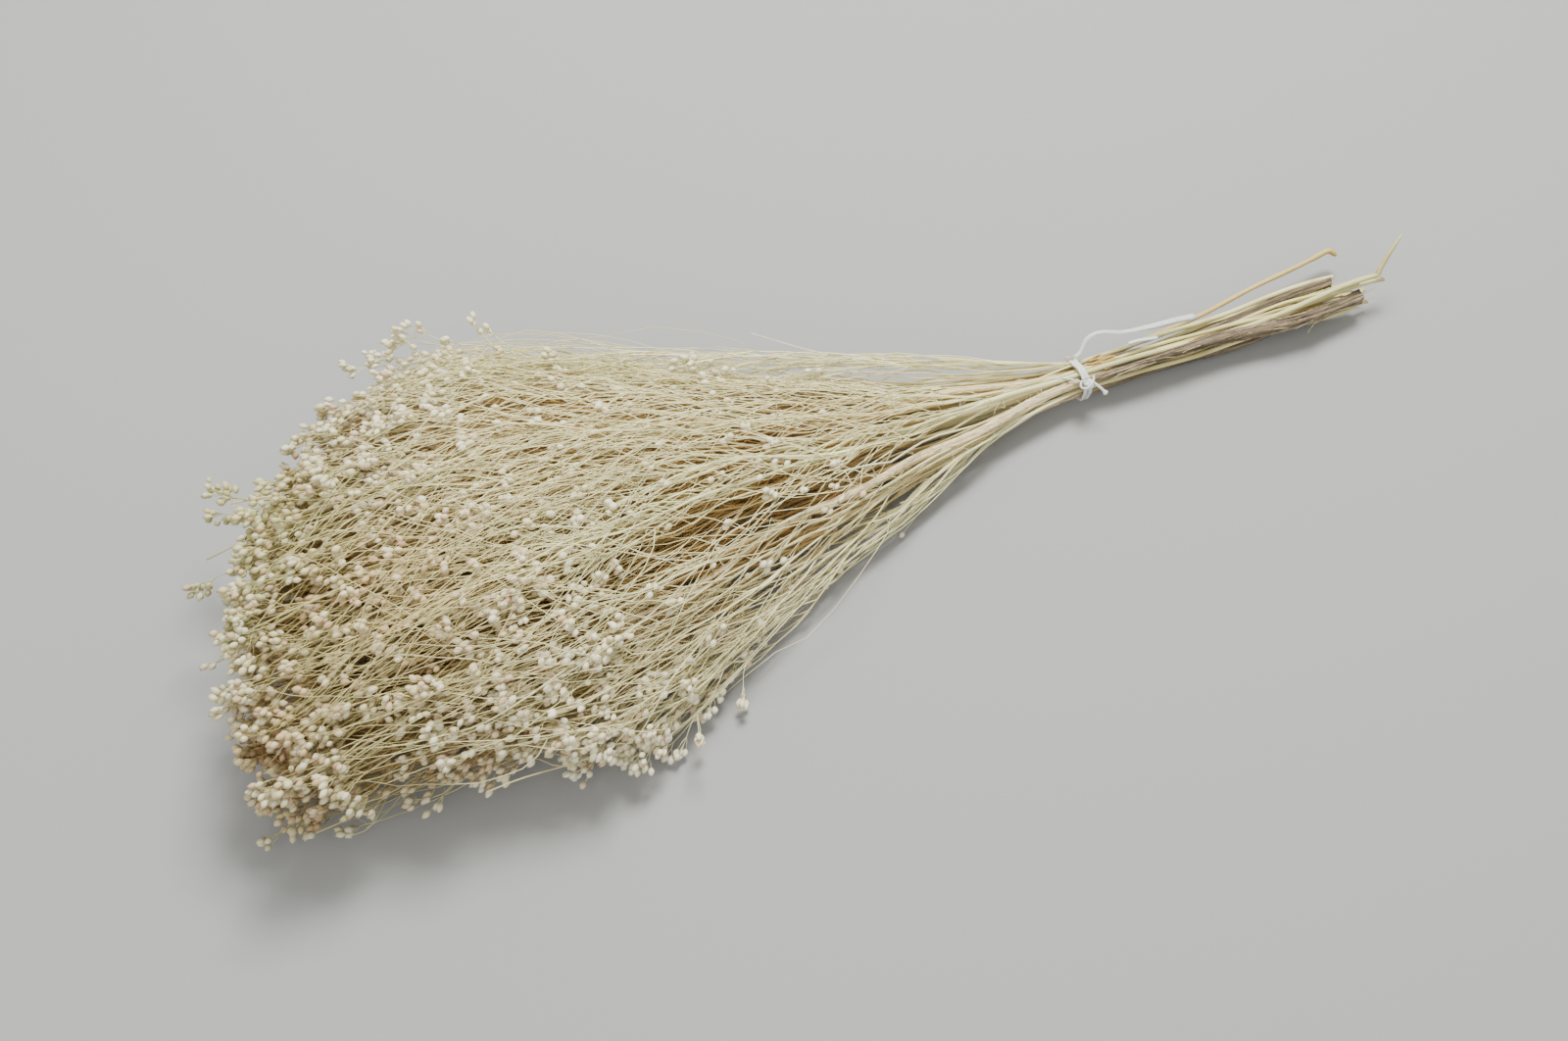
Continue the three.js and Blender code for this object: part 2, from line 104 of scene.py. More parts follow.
# How far the mass of the head reaches, and where along it the capsules start, from the near edge at -1
# to the far edge at +1.
HEAD_REACH = [
    (-1, 232), (-0.92, 252), (-0.82, 282), (-0.76, 316), (-0.7, 374), (-0.6, 394),
    (-0.45, 396), (-0.2, 387), (0, 380),
    (0.2, 368), (0.35, 354), (0.5, 340), (0.7, 312), (0.85, 286), (1, 252),
]
CAPSULE_FROM = [
    (-1, 165), (-0.9, 175), (-0.7, 208), (-0.5, 232), (-0.2, 240), (0.1, 262),
    (0.4, 280), (0.7, 268), (1, 250),
]

# How many of each, and how thick, in millimetres of radius.
BRANCHES = 11
TWIGS = 600
SPRIGS = 1030
THREADS = 1800
CROSSING_THREADS = 300
CURLS = 130
THIN_STEMS = 9
SPLINTERS = 13
FIBRES = 36
STEM_STEPS = 70
THIN_STEM_STEPS = 60
FIBRE_STEPS = 9
SPLINTER_STEPS = 7
THREAD_STEPS = 10
CROSSING_STEPS = 12
CURL_STEPS = 14
BRANCH_RADIUS = 0.62
TWIG_RADIUS = 0.38
SPRIG_RADIUS = 0.24
THREAD_RADIUS = 0.21
PEDICEL_RADIUS = 0.17
CURL_RADIUS = 0.13
CAPSULE_LENGTH = 4.1
CAPSULE_WIDTH = 2.95
LOWEST = 0.02
CEILING = 90
HEAD_HALF_WIDTH = 110
NOTCH_BELOW = -0.58
NOTCH_START = 326
NOTCH_END = 358

# Linear colours.
CREAM = np.array((0.92, 0.84, 0.58))
STRAW = np.array((0.82, 0.67, 0.35))
PALE_GREEN = np.array((0.76, 0.74, 0.43))
TAN = np.array((0.60, 0.39, 0.18))
GOLDEN = np.array((0.67, 0.40, 0.13))
CAPSULE_WHITE = np.array((0.92, 0.88, 0.73))
CAPSULE_CREAM = np.array((0.83, 0.73, 0.49))
CAPSULE_PINK = np.array((0.62, 0.38, 0.25))
CAPSULE_OLIVE = np.array((0.62, 0.57, 0.30))
WOOD = np.array((0.76, 0.60, 0.34))
PITH = np.array((0.46, 0.29, 0.14))
# Painted shade for the bark's furrows.
FURROW_SHADE = np.array((0.055, 0.04, 0.025))
BARK_MID = np.array((0.19, 0.145, 0.09))
BARK_PALE = np.array((0.40, 0.33, 0.22))
STRING = np.array((0.88, 0.90, 0.86))

rng = np.random.default_rng(SEED)
uniform = rng.uniform
normal = rng.normal


def draw(seed):
    """The solids' seeded random numbers from 0 to 1."""
    mask = 0xFFFFFFFF
    state = seed & mask
    while True:
        state = (state + 0x6D2B79F5) & mask
        t = ((state ^ (state >> 15)) * (state | 1)) & mask
        t ^= (t + (t ^ (t >> 7)) * (t | 61)) & mask
        yield (t ^ (t >> 14)) / (mask + 1)


def mix(a, b, t):
    return a + (b - a) * t


def smooth(x, low, high):
    t = np.clip((np.asarray(x, float) - low) / (high - low), 0, 1)
    return t * t * (3 - 2 * t)


def hill(x, centre, width):
    return np.exp(-(((x - centre) / width) ** 2))


def through(table, x):
    """The value at x of a line through control points."""
    return np.interp(x, *zip(*table))


def unit(vector):
    return vector / (np.linalg.norm(vector) + 1e-12)


def units(vectors):
    return vectors / (np.linalg.norm(vectors, axis=-1, keepdims=True) + 1e-12)


def round_angles(sides):
    return 2 * np.pi * np.arange(sides) / sides


def ramp(steps):
    return np.linspace(0, 1, steps)[:, None]


def run_of(points):
    """The distances of a line's points along it."""
    return np.concatenate([[0], np.cumsum(np.linalg.norm(np.diff(points, axis=0), axis=1))])


def resample(even, run, points):
    """Points at the given distances along a line."""
    return np.stack([np.interp(even, run, points[:, k]) for k in range(3)], -1)


def pack_stems():
    """The stems' places in the tie as complex numbers y + zi, by the solids' own rule."""
    draws = draw(SEED)
    stems = []
    for i in range(STEM_COUNT):
        woody = i in WOODY
        mean, low, high = (WOODY_RADIUS, 0.86, 1.06) if woody else (STEM_RADIUS, 0.88, 1.08)
        at = cmath.rect(2 * WOODY_RADIUS * math.sqrt(i + 0.5), i * math.pi * (3 - math.sqrt(5)))
        stems.append({"at": at, "woody": woody, "radius": mean * mix(low, high, next(draws))})
    for turn in range(PACK_PASSES):
        for stem in stems:
            stem["at"] *= PULL if turn < PACK_PASSES - LOOSE_PASSES else 1
        for a, b in itertools.combinations(stems, 2):
            gap = b["at"] - a["at"]
            apart = math.hypot(gap.real, gap.imag)
            least = a["radius"] + b["radius"] + STEM_GAP
            if apart < least:
                push = gap * ((least - apart) / 2 / apart)
                a["at"] -= push
                b["at"] += push
    return stems


STEMS = pack_stems()
BUNDLE_RADIUS = 1.03 * max(math.hypot(s["at"].real, s["at"].imag) for s in STEMS)
TIE_AXIS = TIE_CLEARANCE + BUNDLE_RADIUS
for number, stem in enumerate(STEMS):
    stem["u"] = stem["at"].real / BUNDLE_RADIUS
    stem["v"] = stem["at"].imag / BUNDLE_RADIUS
    draws = draw(SEED * 1000 + number)
    stem["reach"] = through(TIP_REACH, stem["u"]) + mix(-9, 5, next(draws))
    stem["cut"] = CUT_END + mix(-1, 1, next(draws)) * CUT_END_SPREAD
ORDINARY = [s for s in STEMS if not s["woody"]]
STRAY = max(ORDINARY, key=lambda s: s["u"] - 0.3 * s["v"])
KINKED = max(ORDINARY, key=lambda s: s["v"] + 0.2 * s["u"])
END_RADIUS = BUNDLE_RADIUS * (1 + HANDLE_FLARE)
END_AXIS = -2 * FLAT_SPOT + max(
    s["radius"] - END_RADIUS * (s["u"] * math.sin(HANDLE_TWIST) + s["v"] * math.cos(HANDLE_TWIST))
    for s in STEMS
)


def half_width(s):
    fan = np.minimum(s, FAN_KNEE)
    spread = SPREAD * fan * fan / (fan + SPREAD_START)
    return BUNDLE_RADIUS + spread + SPREAD_PAST_KNEE * np.maximum(s - FAN_KNEE, 0)


def bottom(s):
    return mix(TIE_CLEARANCE, UNDERSIDE, smooth(s, 0, UNDERSIDE_FROM_TIE))


def top(s):
    roof = mix(TIE_CLEARANCE + 2 * BUNDLE_RADIUS, MOUND_HEIGHT, smooth(s, 0, MOUND_FROM_TIE))
    return roof - DROOP * np.maximum(s - DROOP_FROM_TIE, 0)


def place(u, v, s):
    """Where the places (u, v) of the unit disc lie at distances s from the tie, headwards positive."""
    u, v, s = (np.asarray(a, float) for a in np.broadcast_arrays(u, v, s))
    share = np.maximum(-s, 0) / CUT_END
    turn = HANDLE_TWIST * share
    flare = BUNDLE_RADIUS * (1 + HANDLE_FLARE * share)
    axis = mix(TIE_AXIS, END_AXIS, np.minimum(share, 1))
    handle_y = flare * (u * np.cos(turn) - v * np.sin(turn))
    handle_z = axis + flare * (u * np.sin(turn) + v * np.cos(turn))
    ahead = np.maximum(s, 0)
    edge = np.maximum(1 - u * u, 0.02)
    disc = (v + 1) / 2
    mound = (v / np.sqrt(edge) + 1) / 2 * edge**0.6
    height = mix(disc, mound, smooth(ahead, 0, 140))
    head_y = u * half_width(ahead)
    head_z = mix(bottom(ahead), top(ahead), height)
    behind = s < 0
    return np.stack([-s, np.where(behind, handle_y, head_y), np.where(behind, handle_z, head_z)], -1)


def place_of(points):
    """The disc places and distances of points in the head, the other way round."""
    s = -points[..., 0]
    ahead = np.maximum(s, 0)
    u = np.clip(points[..., 1] / half_width(ahead), -0.99, 0.99)
    height = (points[..., 2] - bottom(ahead)) / (top(ahead) - bottom(ahead))
    edge = 1 - u * u
    mound = (2 * height / edge**0.6 - 1) * np.sqrt(edge)
    return u, np.clip(mix(2 * height - 1, mound, smooth(ahead, 0, 140)), -1, 1), s


def inside(u, v):
    """The same places, drawn in to lie in the unit disc."""
    far = np.maximum(np.hypot(u, v) / 0.975, 1)
    return u / far, v / far


class Sheaf:
    """Tubes and capsules gathered for one mesh. Each has a block of its own in the texture map."""

    def __init__(self):
        self.tubes = {}
        self.capsules = {}

    def tube(self, points, radii, colours, sides, side_axis=(0, 0, 1), slant=0.0):
        """A closed tube. Radii and colours are given once, for each point or for each vertex."""
        steps = len(points)
        radii = np.asarray(radii, float)
        radii = np.broadcast_to(radii[:, None] if radii.ndim == 1 else radii, (steps, sides))
        colours = np.asarray(colours, float)
        if colours.ndim == 2:
            colours = colours[:, None]
        colours = np.broadcast_to(colours, (steps, sides, 3))
        slant = np.broadcast_to(slant, steps)
        self.tubes.setdefault((steps, sides), []).append((points, radii, colours, side_axis, slant))

    def capsule(self, shape, *facts):
        self.capsules.setdefault(shape, []).append(facts)


def frames(points, side_axis):
    """Axes along and across many polylines at once, carried along each without twist."""
    along = units(np.gradient(points, axis=1))
    first = np.cross(side_axis, along[:, 0])
    other = np.cross(np.array([0.0, 1.0, 0.0]), along[:, 0])
    weak = np.linalg.norm(first, axis=1, keepdims=True) < 0.2
    side = np.where(weak, other, first)
    across = []
    for step in range(points.shape[1]):
        ahead = along[:, step]
        side = units(side - ahead * (side * ahead).sum(1, keepdims=True))
        across.append(side)
    across = np.stack(across, 1)
    return along, across, np.cross(along, across)


def faces_of(rings, sides):
    """The quads of a tube's wall, with their places on it from 0 to 1."""
    k = np.arange(sides)
    n = (k + 1) % sides
    row = (np.arange(rings - 1) * sides)[:, None]
    quads = np.stack([row + k, row + n, row + sides + n, row + sides + k], -1).reshape(-1, 4)
    start = np.repeat(np.arange(rings - 1), sides)
    side = np.tile(k, rings - 1)
    u = np.stack([start, start, start + 1, start + 1], -1) / rings
    v = np.stack([side, side + 1, side + 1, side], -1) / sides
    return quads, np.stack([u, v], -1)


def copies(vertices, colours, count, kinds):
    """Arrays for that many shapes of one make."""
    each = vertices.reshape(count, -1, 3).shape[1]
    offset = (np.arange(count) * each)[:, None, None]
    return {
        "vertices": vertices.reshape(-1, 3),
        "colours": colours.reshape(-1, 3),
        "blocks": count,
        "faces": [
            ((faces + offset).reshape(-1, faces.shape[1]), np.broadcast_to(uv, (count, *uv.shape)))
            for faces, uv in kinds
        ],
    }


def tube_mesh(group, sides):
    """The arrays of tubes that have as many points and sides."""
    points, radii, colours, side_axis, slant = (np.array(rows, float) for rows in zip(*group))
    paths, steps = points.shape[:2]
    along, across, out = frames(points, side_axis)
    turn = round_angles(sides)
    ring = across[:, :, None] * np.cos(turn)[:, None] + out[:, :, None] * np.sin(turn)[:, None]
    ring = ring + along[:, :, None] * (slant[:, :, None] * np.cos(turn))[..., None]
    body = points[:, :, None] + radii[..., None] * ring
    quads, quad_uv = faces_of(steps, sides)
    k = np.arange(sides)
    caps = np.stack([k[::-1], (steps - 1) * sides + k])
    rim = np.stack([np.zeros(sides), k / sides], -1)
    cap_uv = np.stack([rim[::-1], rim + np.array([(steps - 1) / steps, 0])])
    return copies(body, colours, paths, ((quads, quad_uv), (caps, cap_uv)))


# A capsule's half widths and their places, from its neck to its tip. Those deep in the head are coarser.
NEAR = "near"
DEEP = "deep"
CAPSULE_SIDES = {NEAR: 6, DEEP: 5}
CAPSULE_RINGS = {
    NEAR: [(0.16, 0.0), (0.7, 0.18), (1.0, 0.46), (0.72, 0.74), (0.24, 0.93)],
    DEEP: [(0.2, 0.0), (1.0, 0.4), (0.5, 0.84)],
}
TIP_BLUSH = {NEAR: [0.6, 0.2, 0.0, 0.25, 0.8], DEEP: [0.6, 0.0, 0.6]}


def capsule_mesh(facts, shape):
    """The arrays of seed capsules, the ripest with an open crown."""
    base, axis, length, width, colour, tip_colour, opening = (np.array(rows, float) for rows in zip(*facts))
    count = len(facts)
    sides = CAPSULE_SIDES[shape]
    outline = np.array(CAPSULE_RINGS[shape])
    rings = len(outline)
    axis = units(axis)
    upright = np.abs(axis[:, 2:3]) > 0.9
    across = units(np.cross(np.where(upright, (0.0, 1.0, 0.0), (0.0, 0.0, 1.0)), axis))
    out = np.cross(axis, across)
    turn = rng.random(count)[:, None] * 2 * np.pi + round_angles(sides)
    rim = across[:, None] * np.cos(turn)[..., None] + out[:, None] * np.sin(turn)[..., None]
    lobe = 1 + normal(0, 0.05, (count, 1, sides))
    tooth = (-1.0) ** np.arange(sides)
    crown = np.zeros((1, rings, 1))
    crown[0, -1] = 1
    wide = opening[:, None, None]
    round_radius = outline[:, 0][None, :, None] * (width / 2)[:, None, None]
    radius = round_radius * lobe * (1 + crown * wide * (0.9 + 0.5 * tooth))
    forward = length[:, None, None] * (outline[:, 1][None, :, None] + crown * wide * 0.12 * tooth)
    body = base[:, None, None] + axis[:, None, None] * forward[..., None] + rim[:, None] * radius[..., None]
    tip = base + axis * (length * (1 - 0.3 * opening))[:, None]
    vertices = np.concatenate([body.reshape(count, -1, 3), tip[:, None]], 1)
    blush = np.array(TIP_BLUSH[shape])[None, :, None, None]
    shade = np.broadcast_to(mix(colour[:, None, None], tip_colour[:, None, None], blush), body.shape)
    shade = np.concatenate([shade.reshape(count, -1, 3), tip_colour[:, None]], 1)
    each = rings * sides + 1
    quads, quad_uv = faces_of(rings, sides)
    k = np.arange(sides)
    last = (rings - 1) * sides
    crown_faces = np.stack([last + k, last + (k + 1) % sides, np.full(sides, each - 1)], -1)
    crown_u = np.array([1 - 1 / rings, 1 - 1 / rings, 1.0])
    crown_v = np.stack([k, k + 1, k + 0.5], -1) / sides
    crown_uv = np.stack([np.broadcast_to(crown_u, (sides, 3)), crown_v], -1)
    neck = k[::-1][None]
    neck_uv = np.stack([np.zeros(sides), k[::-1] / sides], -1)[None]
    return copies(vertices, shade, count, ((quads, quad_uv), (crown_faces, crown_uv), (neck, neck_uv)))


def tone_and_painted_shade(vertices, strength):
    """Tones of the bunch: painted tan-brown shade deep inside the head, painted warm shade in its middle,
    real pinkish and olive patches, painted grey shade over the head's far end, greyer into the handle, a
    slight tint overall.
    """
    u, v, s = place_of(vertices)
    # Painted shade: tan-brown deep inside the head, none near the tie or past the head's reach.
    deep = smooth(1 - np.hypot(u, v), 0.05, 0.42) * smooth(s, 30, 150) * strength
    deep = deep * smooth(through(HEAD_REACH, u) - s, -25, 10)
    # The first hill is a painted warm shade in the middle of the head's near half; the second is a real
    # pinkish patch further out near the near edge.
    pink_patch_and_warm_shade = hill(u, -0.3, 0.34) * hill(s, 322, 48) + 0.7 * hill(u, -0.5, 0.2) * hill(s, 378, 18)
    olive = hill(u, 0.3, 0.35) * hill(s, 372, 30) + 0.5 * hill(u, 0.75, 0.25) * hill(s, 240, 70)
    tone = 1
    for colour, share in (
        ((0.60, 0.41, 0.24), deep),
        ((0.95, 0.83, 0.72), 0.75 * np.clip(pink_patch_and_warm_shade, 0, 1)),
        ((0.90, 0.92, 0.74), 0.7 * np.clip(olive, 0, 1)),
        # Painted shade that greys the far end of the head.
        ((0.66, 0.67, 0.55), strength * smooth(s, 255, 385)),
        ((0.84, 0.82, 0.69), smooth(-s, -25, 30)),
        ((0.90, 0.95, 0.84), np.full(len(s), strength)),
    ):
        tone = tone * mix(1, np.array(colour), share[:, None])
    return tone


def add_object(name, data):
    new = bpy.data.objects.new(name, data)
    bpy.context.scene.collection.objects.link(new)
    return new


def make_object(name, parts, material, wide_blocks, tone=0.0):
    """A piece from arrays of faces. Every tube or capsule takes one block of the texture map."""
    blocks = sum(p["blocks"] for p in parts)
    columns = max(1, round(math.sqrt(blocks / wide_blocks)))
    rows = math.ceil(blocks / columns)
    cell = np.array([1 / columns, 1 / rows])
    vertices = np.concatenate([p["vertices"] for p in parts])
    colours = np.concatenate([p["colours"] for p in parts])
    loops, sizes, places = [], [], []
    base = 0
    done = 0
    for part in parts:
        block = done + np.arange(part["blocks"])
        corner = np.stack([block % columns / columns, block // columns / rows], -1)[:, None, None]
        for faces, uv in part["faces"]:
            loops.append((faces + base).ravel())
            sizes.append(np.full(len(faces), faces.shape[1]))
            places.append((corner + cell * (0.05 + 0.9 * uv)).reshape(-1, 2))
        base += len(part["vertices"])
        done += part["blocks"]
    vertices[:, 2] = np.maximum(vertices[:, 2], LOWEST)
    # A tone above zero multiplies in the head's painted shade and its colour patches; the shade and the
    # overall tint scale with it.
    if tone:
        colours = colours * tone_and_painted_shade(vertices, tone)
    vertices = (vertices + ORIGIN) * MM
    loops = np.concatenate(loops)
    sizes = np.concatenate(sizes)
    mesh = bpy.data.meshes.new(name)
    mesh.vertices.add(len(vertices))
    mesh.vertices.foreach_set("co", vertices.astype(np.float32).ravel())
    mesh.loops.add(len(loops))
    mesh.loops.foreach_set("vertex_index", loops.astype(np.int32))
    mesh.polygons.add(len(sizes))
    starts = np.concatenate([[0], np.cumsum(sizes)[:-1]])
    mesh.polygons.foreach_set("loop_start", starts.astype(np.int32))
    mesh.polygons.foreach_set("loop_total", sizes.astype(np.int32))
    mesh.update(calc_edges=True)
    tint = mesh.color_attributes.new("tint", "FLOAT_COLOR", "POINT")
    rgba = np.ones((len(vertices), 4), np.float32)
    rgba[:, :3] = np.clip(colours, 0.01, 0.95)
    tint.data.foreach_set("color", rgba.ravel())
    layer = mesh.uv_layers.new(name="OFBake")
    layer.uv.foreach_set("vector", np.concatenate(places).astype(np.float32).ravel())
    mesh.validate()
    mesh.shade_smooth()
    mesh.materials.append(material)
    return add_object(name, mesh)


def tube_parts(sheaf):
    groups = sorted(sheaf.tubes.items(), key=lambda g: g[0])
    return [tube_mesh(group, sides) for (_, sides), group in groups]


def capsule_parts(sheaf):
    return [capsule_mesh(facts, shape) for shape, facts in sorted(sheaf.capsules.items())]


def waves(s, amount, lengths):
    """A gentle waver along s, with a random phase for each wavelength, the longest the strongest."""
    total = np.zeros((len(s), 3))
    for length in lengths:
        share = amount * length / max(lengths)
        for axis in (1, 2):
            total[:, axis] += share * normal(0, 0.7) * np.sin(2 * np.pi * (s / length + rng.random()))
    return total


def kinks(s, amount, spacing):
    """Small changes of direction at irregular nodes."""
    knots = np.arange(s.min() - spacing, s.max() + spacing, spacing) + uniform(-0.35, 0.35) * spacing
    total = np.zeros((len(s), 3))
    for axis in (1, 2):
        total[:, axis] = np.interp(s, knots, normal(0, amount, len(knots)))
    return total


class Limb:
    """A drawn strand that finer ones can leave, with its places in the disc, its sheaf and its colour."""

    def __init__(self, u, v, s, waver, sheaf, colour=None):
        self.u, self.v = inside(u, v)
        self.s = s
        self.waver = waver
        self.points = place(self.u, self.v, s) + waver
        self.points[:, 2] = np.maximum(self.points[:, 2], 0.7)
        self.sheaf = sheaf
        self.colour = colour

    def at(self, t):
        """The place in the disc, distance and waver at share t of the limb."""
        x = t * (len(self.s) - 1)
        i = min(int(x), len(self.s) - 2)
        return tuple(mix(a[i], a[i + 1], x - i) for a in (self.u, self.v, self.s, self.waver))


def sideways(low, high):
    """A drift in the unit disc, in any direction."""
    turn = rng.random() * 2 * math.pi
    far = uniform(low, high)
    return far * math.cos(turn), far * math.sin(turn)


def shoot(parent, t, length, drift, steps, amount, lengths, bow):
    """A limb that leaves its parent at share t and drifts sideways in the unit disc as it goes."""
    u, v, s, waver = parent.at(t)
    share = np.linspace(0, 1, steps)
    away = 1 - (1 - share) ** bow
    along = s + length * share
    own = (waves(along, amount, lengths) + kinks(along, 0.25 * amount, 16)) * smooth(share, 0, 0.3)[:, None]
    end_waver = waver * (1 - share)[:, None]
    return Limb(u + drift[0] * away, v + drift[1] * away, along, end_waver + own, parent.sheaf)


def strand_colour():
    """A strand's colour, from cream to straw, now and then tan or greenish."""
    own = mix(STRAW, CREAM, rng.random() ** 0.7)
    pick = rng.random()
    if pick < 0.2:
        own = mix(own, TAN, uniform(0.1, 0.7))
    elif pick < 0.4:
        own = mix(own, PALE_GREEN, uniform(0.2, 0.9))
    return own * uniform(0.9, 1.08)


def capsule_colours(u, s):
    """A capsule's colour and that of its tip: pinkish now and then and in a patch out on the near side,
    more often pinkish in the head's middle as a painted warm shade, greener at the far end.
    """
    pink_and_warm_shade = 0.16 + 0.55 * math.exp(-(((s - 378) / 16) ** 2) - ((u + 0.5) / 0.16) ** 2)
    # Painted warm shade: more pinkish capsules in the middle of the head.
    pink_and_warm_shade += 0.3 * math.exp(-(((s - 325) / 45) ** 2) - ((u + 0.15) / 0.35) ** 2)
    olive = 0.05 + 0.5 * smooth(s, 325, 380) * smooth(u, -0.35, 0.2)
    body = mix(CAPSULE_WHITE, CAPSULE_CREAM, rng.random() ** 1.4)
    pick = rng.random()
    if pick < pink_and_warm_shade:
        body = mix(body, CAPSULE_PINK, uniform(0.2, 0.75))
    elif pick < pink_and_warm_shade + olive:
        body = mix(body, CAPSULE_OLIVE, uniform(0.25, 0.8))
    body = body * uniform(0.9, 1.06)
    return body, mix(body, CAPSULE_PINK, uniform(0.15, 0.75))


def leaning(axis, low, high):
    """A unit vector between low and high radians from the axis."""
    axis = unit(axis)
    side = unit(np.cross(axis, normal(size=3)))
    lean = uniform(low, high)
    return axis * math.cos(lean) + side * math.sin(lean)


def arc(start, heading, end, end_heading, steps):
    """A cubic curve between two points that leaves and arrives along the given headings."""
    reach = np.linalg.norm(end - start)
    a = heading * reach * uniform(0.6, 1.1)
    b = end_heading * reach * uniform(0.6, 1.1)
    t = ramp(steps)
    return (
        start * (2 * t**3 - 3 * t**2 + 1) + a * (t**3 - 2 * t**2 + t)
        + end * (3 * t**2 - 2 * t**3) + b * (t**3 - t**2)
    )


def put_capsule(sheaf, point, heading, where, size):
    u, v, s = where
    exposed = math.hypot(u, v) > 0.76 or s > through(HEAD_REACH, u) - 22
    body, tip = capsule_colours(u, s)
    ripe = rng.random() ** 2.5
    long = CAPSULE_LENGTH * size * uniform(0.9, 1.1)
    wide = CAPSULE_WIDTH * size * uniform(0.9, 1.08)
    if point[2] + heading[2] * long < wide / 2:
        heading = unit(heading * (1, 1, 0) + (0, 0, 0.05))
        point = np.array([point[0], point[1], max(point[2], wide / 2 + 0.2)])
    sheaf.capsule(NEAR if exposed else DEEP, point, heading, long, wide, body, tip, ripe)


PEDICEL_STEPS = 3


def put_pedicel(sheaf, root, axis, length, lean, colour, where, size):
    """A stalk that curves away from its twig and back towards the twig's own heading, with a capsule."""
    out = leaning(axis, *lean)
    t = ramp(PEDICEL_STEPS)
    points = root + length * (out * t + (unit(axis) - out) * 0.35 * t * t)
    points[:, 2] = np.clip(points[:, 2], 0.5, CEILING)
    end = points[-1]
    if end[2] < 1.9:
        points[:, 2] += (1.9 - end[2]) * t[:, 0] ** 2
    sheaf.tube(points, np.linspace(1.05, 0.9, PEDICEL_STEPS) * PEDICEL_RADIUS, colour, 3)
    heading = unit(points[-1] - points[-2])
    put_capsule(sheaf, points[-1] - heading * 0.2, heading, where, size)
    return points


def put_cluster(sheaf, points, colour, where, count=None):
    """A sprig's capsules: one at its tip and the rest on stalks from a few nodes below it."""
    if count is None:
        few = where[2] < through(CAPSULE_FROM, where[0])
        count = rng.integers(1, 4) if few else rng.integers(3, 8)
    run = run_of(points)
    size = uniform(0.86, 1.1)
    put_capsule(sheaf, points[-1], unit(points[-1] - points[-2]), where, size)
    nodes = run[-1] - np.array([1.5, 4.5, 8.5, 13.5]) * uniform(0.8, 1.25)
    for k in range(count - 1):
        node = max(nodes[min(k // 2, 3)] + normal(0, 0.5), 0.35 * run[-1])
        i = min(max(int(np.searchsorted(run, node)) - 1, 0), len(points) - 2)
        root = mix(points[i], points[i + 1], (node - run[i]) / max(run[i + 1] - run[i], 1e-6))
        length = min(3.2 + 0.75 * (run[-1] - node), 13) * uniform(0.75, 1.2)
        same = (colour, where, size)
        stalk = put_pedicel(sheaf, root, points[i + 1] - points[i], length, (0.45, 1.05), *same)
        if k >= 2 and rng.random() < 0.45:
            put_pedicel(sheaf, stalk[-2], stalk[-1] - stalk[-2], uniform(3, 5.5), (0.5, 1), *same)


def put_strand(sheaf, points, thick, thin, sides, colour):
    """A strand as a tube, with small swellings and a colour that drifts along it."""
    steps = len(points)
    radii = mix(thick, thin, np.linspace(0, 1, steps) ** 0.8) * (1 + normal(0, 0.05, steps))
    drift = 1 + np.interp(np.arange(steps), np.linspace(0, steps, 5), normal(0, 0.06, 5))
    points = points.copy()
    points[:, 2] = np.clip(points[:, 2], radii + 0.1, CEILING)
    sheaf.tube(points, radii, colour * drift[:, None], sides)


def put_offshoot(parent, points, own, radius, spread, thin, sides=3):
    """A strand from its parent, with a share of a colour of its own. Gives that colour."""
    colour = mix(parent.colour, strand_colour(), own)
    put_strand(parent.sheaf, points, radius * uniform(*spread), thin, sides, colour)
    return colour


def put_limb(parent, limb, last, *looks):
    """A new limb as an offshoot, with a cluster on its last few points."""
    limb.colour = put_offshoot(parent, limb.points, *looks)
    limbs.append(limb)
    where = (limb.u[-1], limb.v[-1], limb.s[-1])
    put_cluster(limb.sheaf, limb.points[-last:], limb.colour, where)


def spline(points, count):
    """Points evenly along a smooth curve through the given ones, and its length."""
    points = np.array(points, float)
    padded = np.concatenate([[2 * points[0] - points[1]], points, [2 * points[-1] - points[-2]]])
    dense = []
    for i in range(len(points) - 1):
        a, b, c, d = padded[i:i + 4]
        t = np.linspace(0, 1, 40, endpoint=False)[:, None]
        line = 2 * b + (c - a) * t + (2 * a - 5 * b + 4 * c - d) * t**2
        dense.append(0.5 * (line + (3 * b - a - 3 * c + d) * t**3))
    dense = np.concatenate([*dense, points[-1:]])
    run = run_of(dense)
    return resample(np.linspace(0, run[-1], count), run, dense), run[-1]


# Materials.


def nodes_of(material):
    material.use_nodes = True
    tree = material.node_tree
    return tree, tree.nodes["Principled BSDF"]


def add_node(tree, kind, **values):
    node = tree.nodes.new("ShaderNode" + kind)
    for name, value in values.items():
        if hasattr(node, name):
            setattr(node, name, value)
        else:
            node.inputs[name.replace("_", " ")].default_value = value
    return node


def remap(tree, source, low, high, to_low, to_high):
    node = add_node(tree, "MapRange", From_Min=low, From_Max=high, To_Min=to_low, To_Max=to_high)
    tree.links.new(source, node.inputs["Value"])
    return node.outputs["Result"]


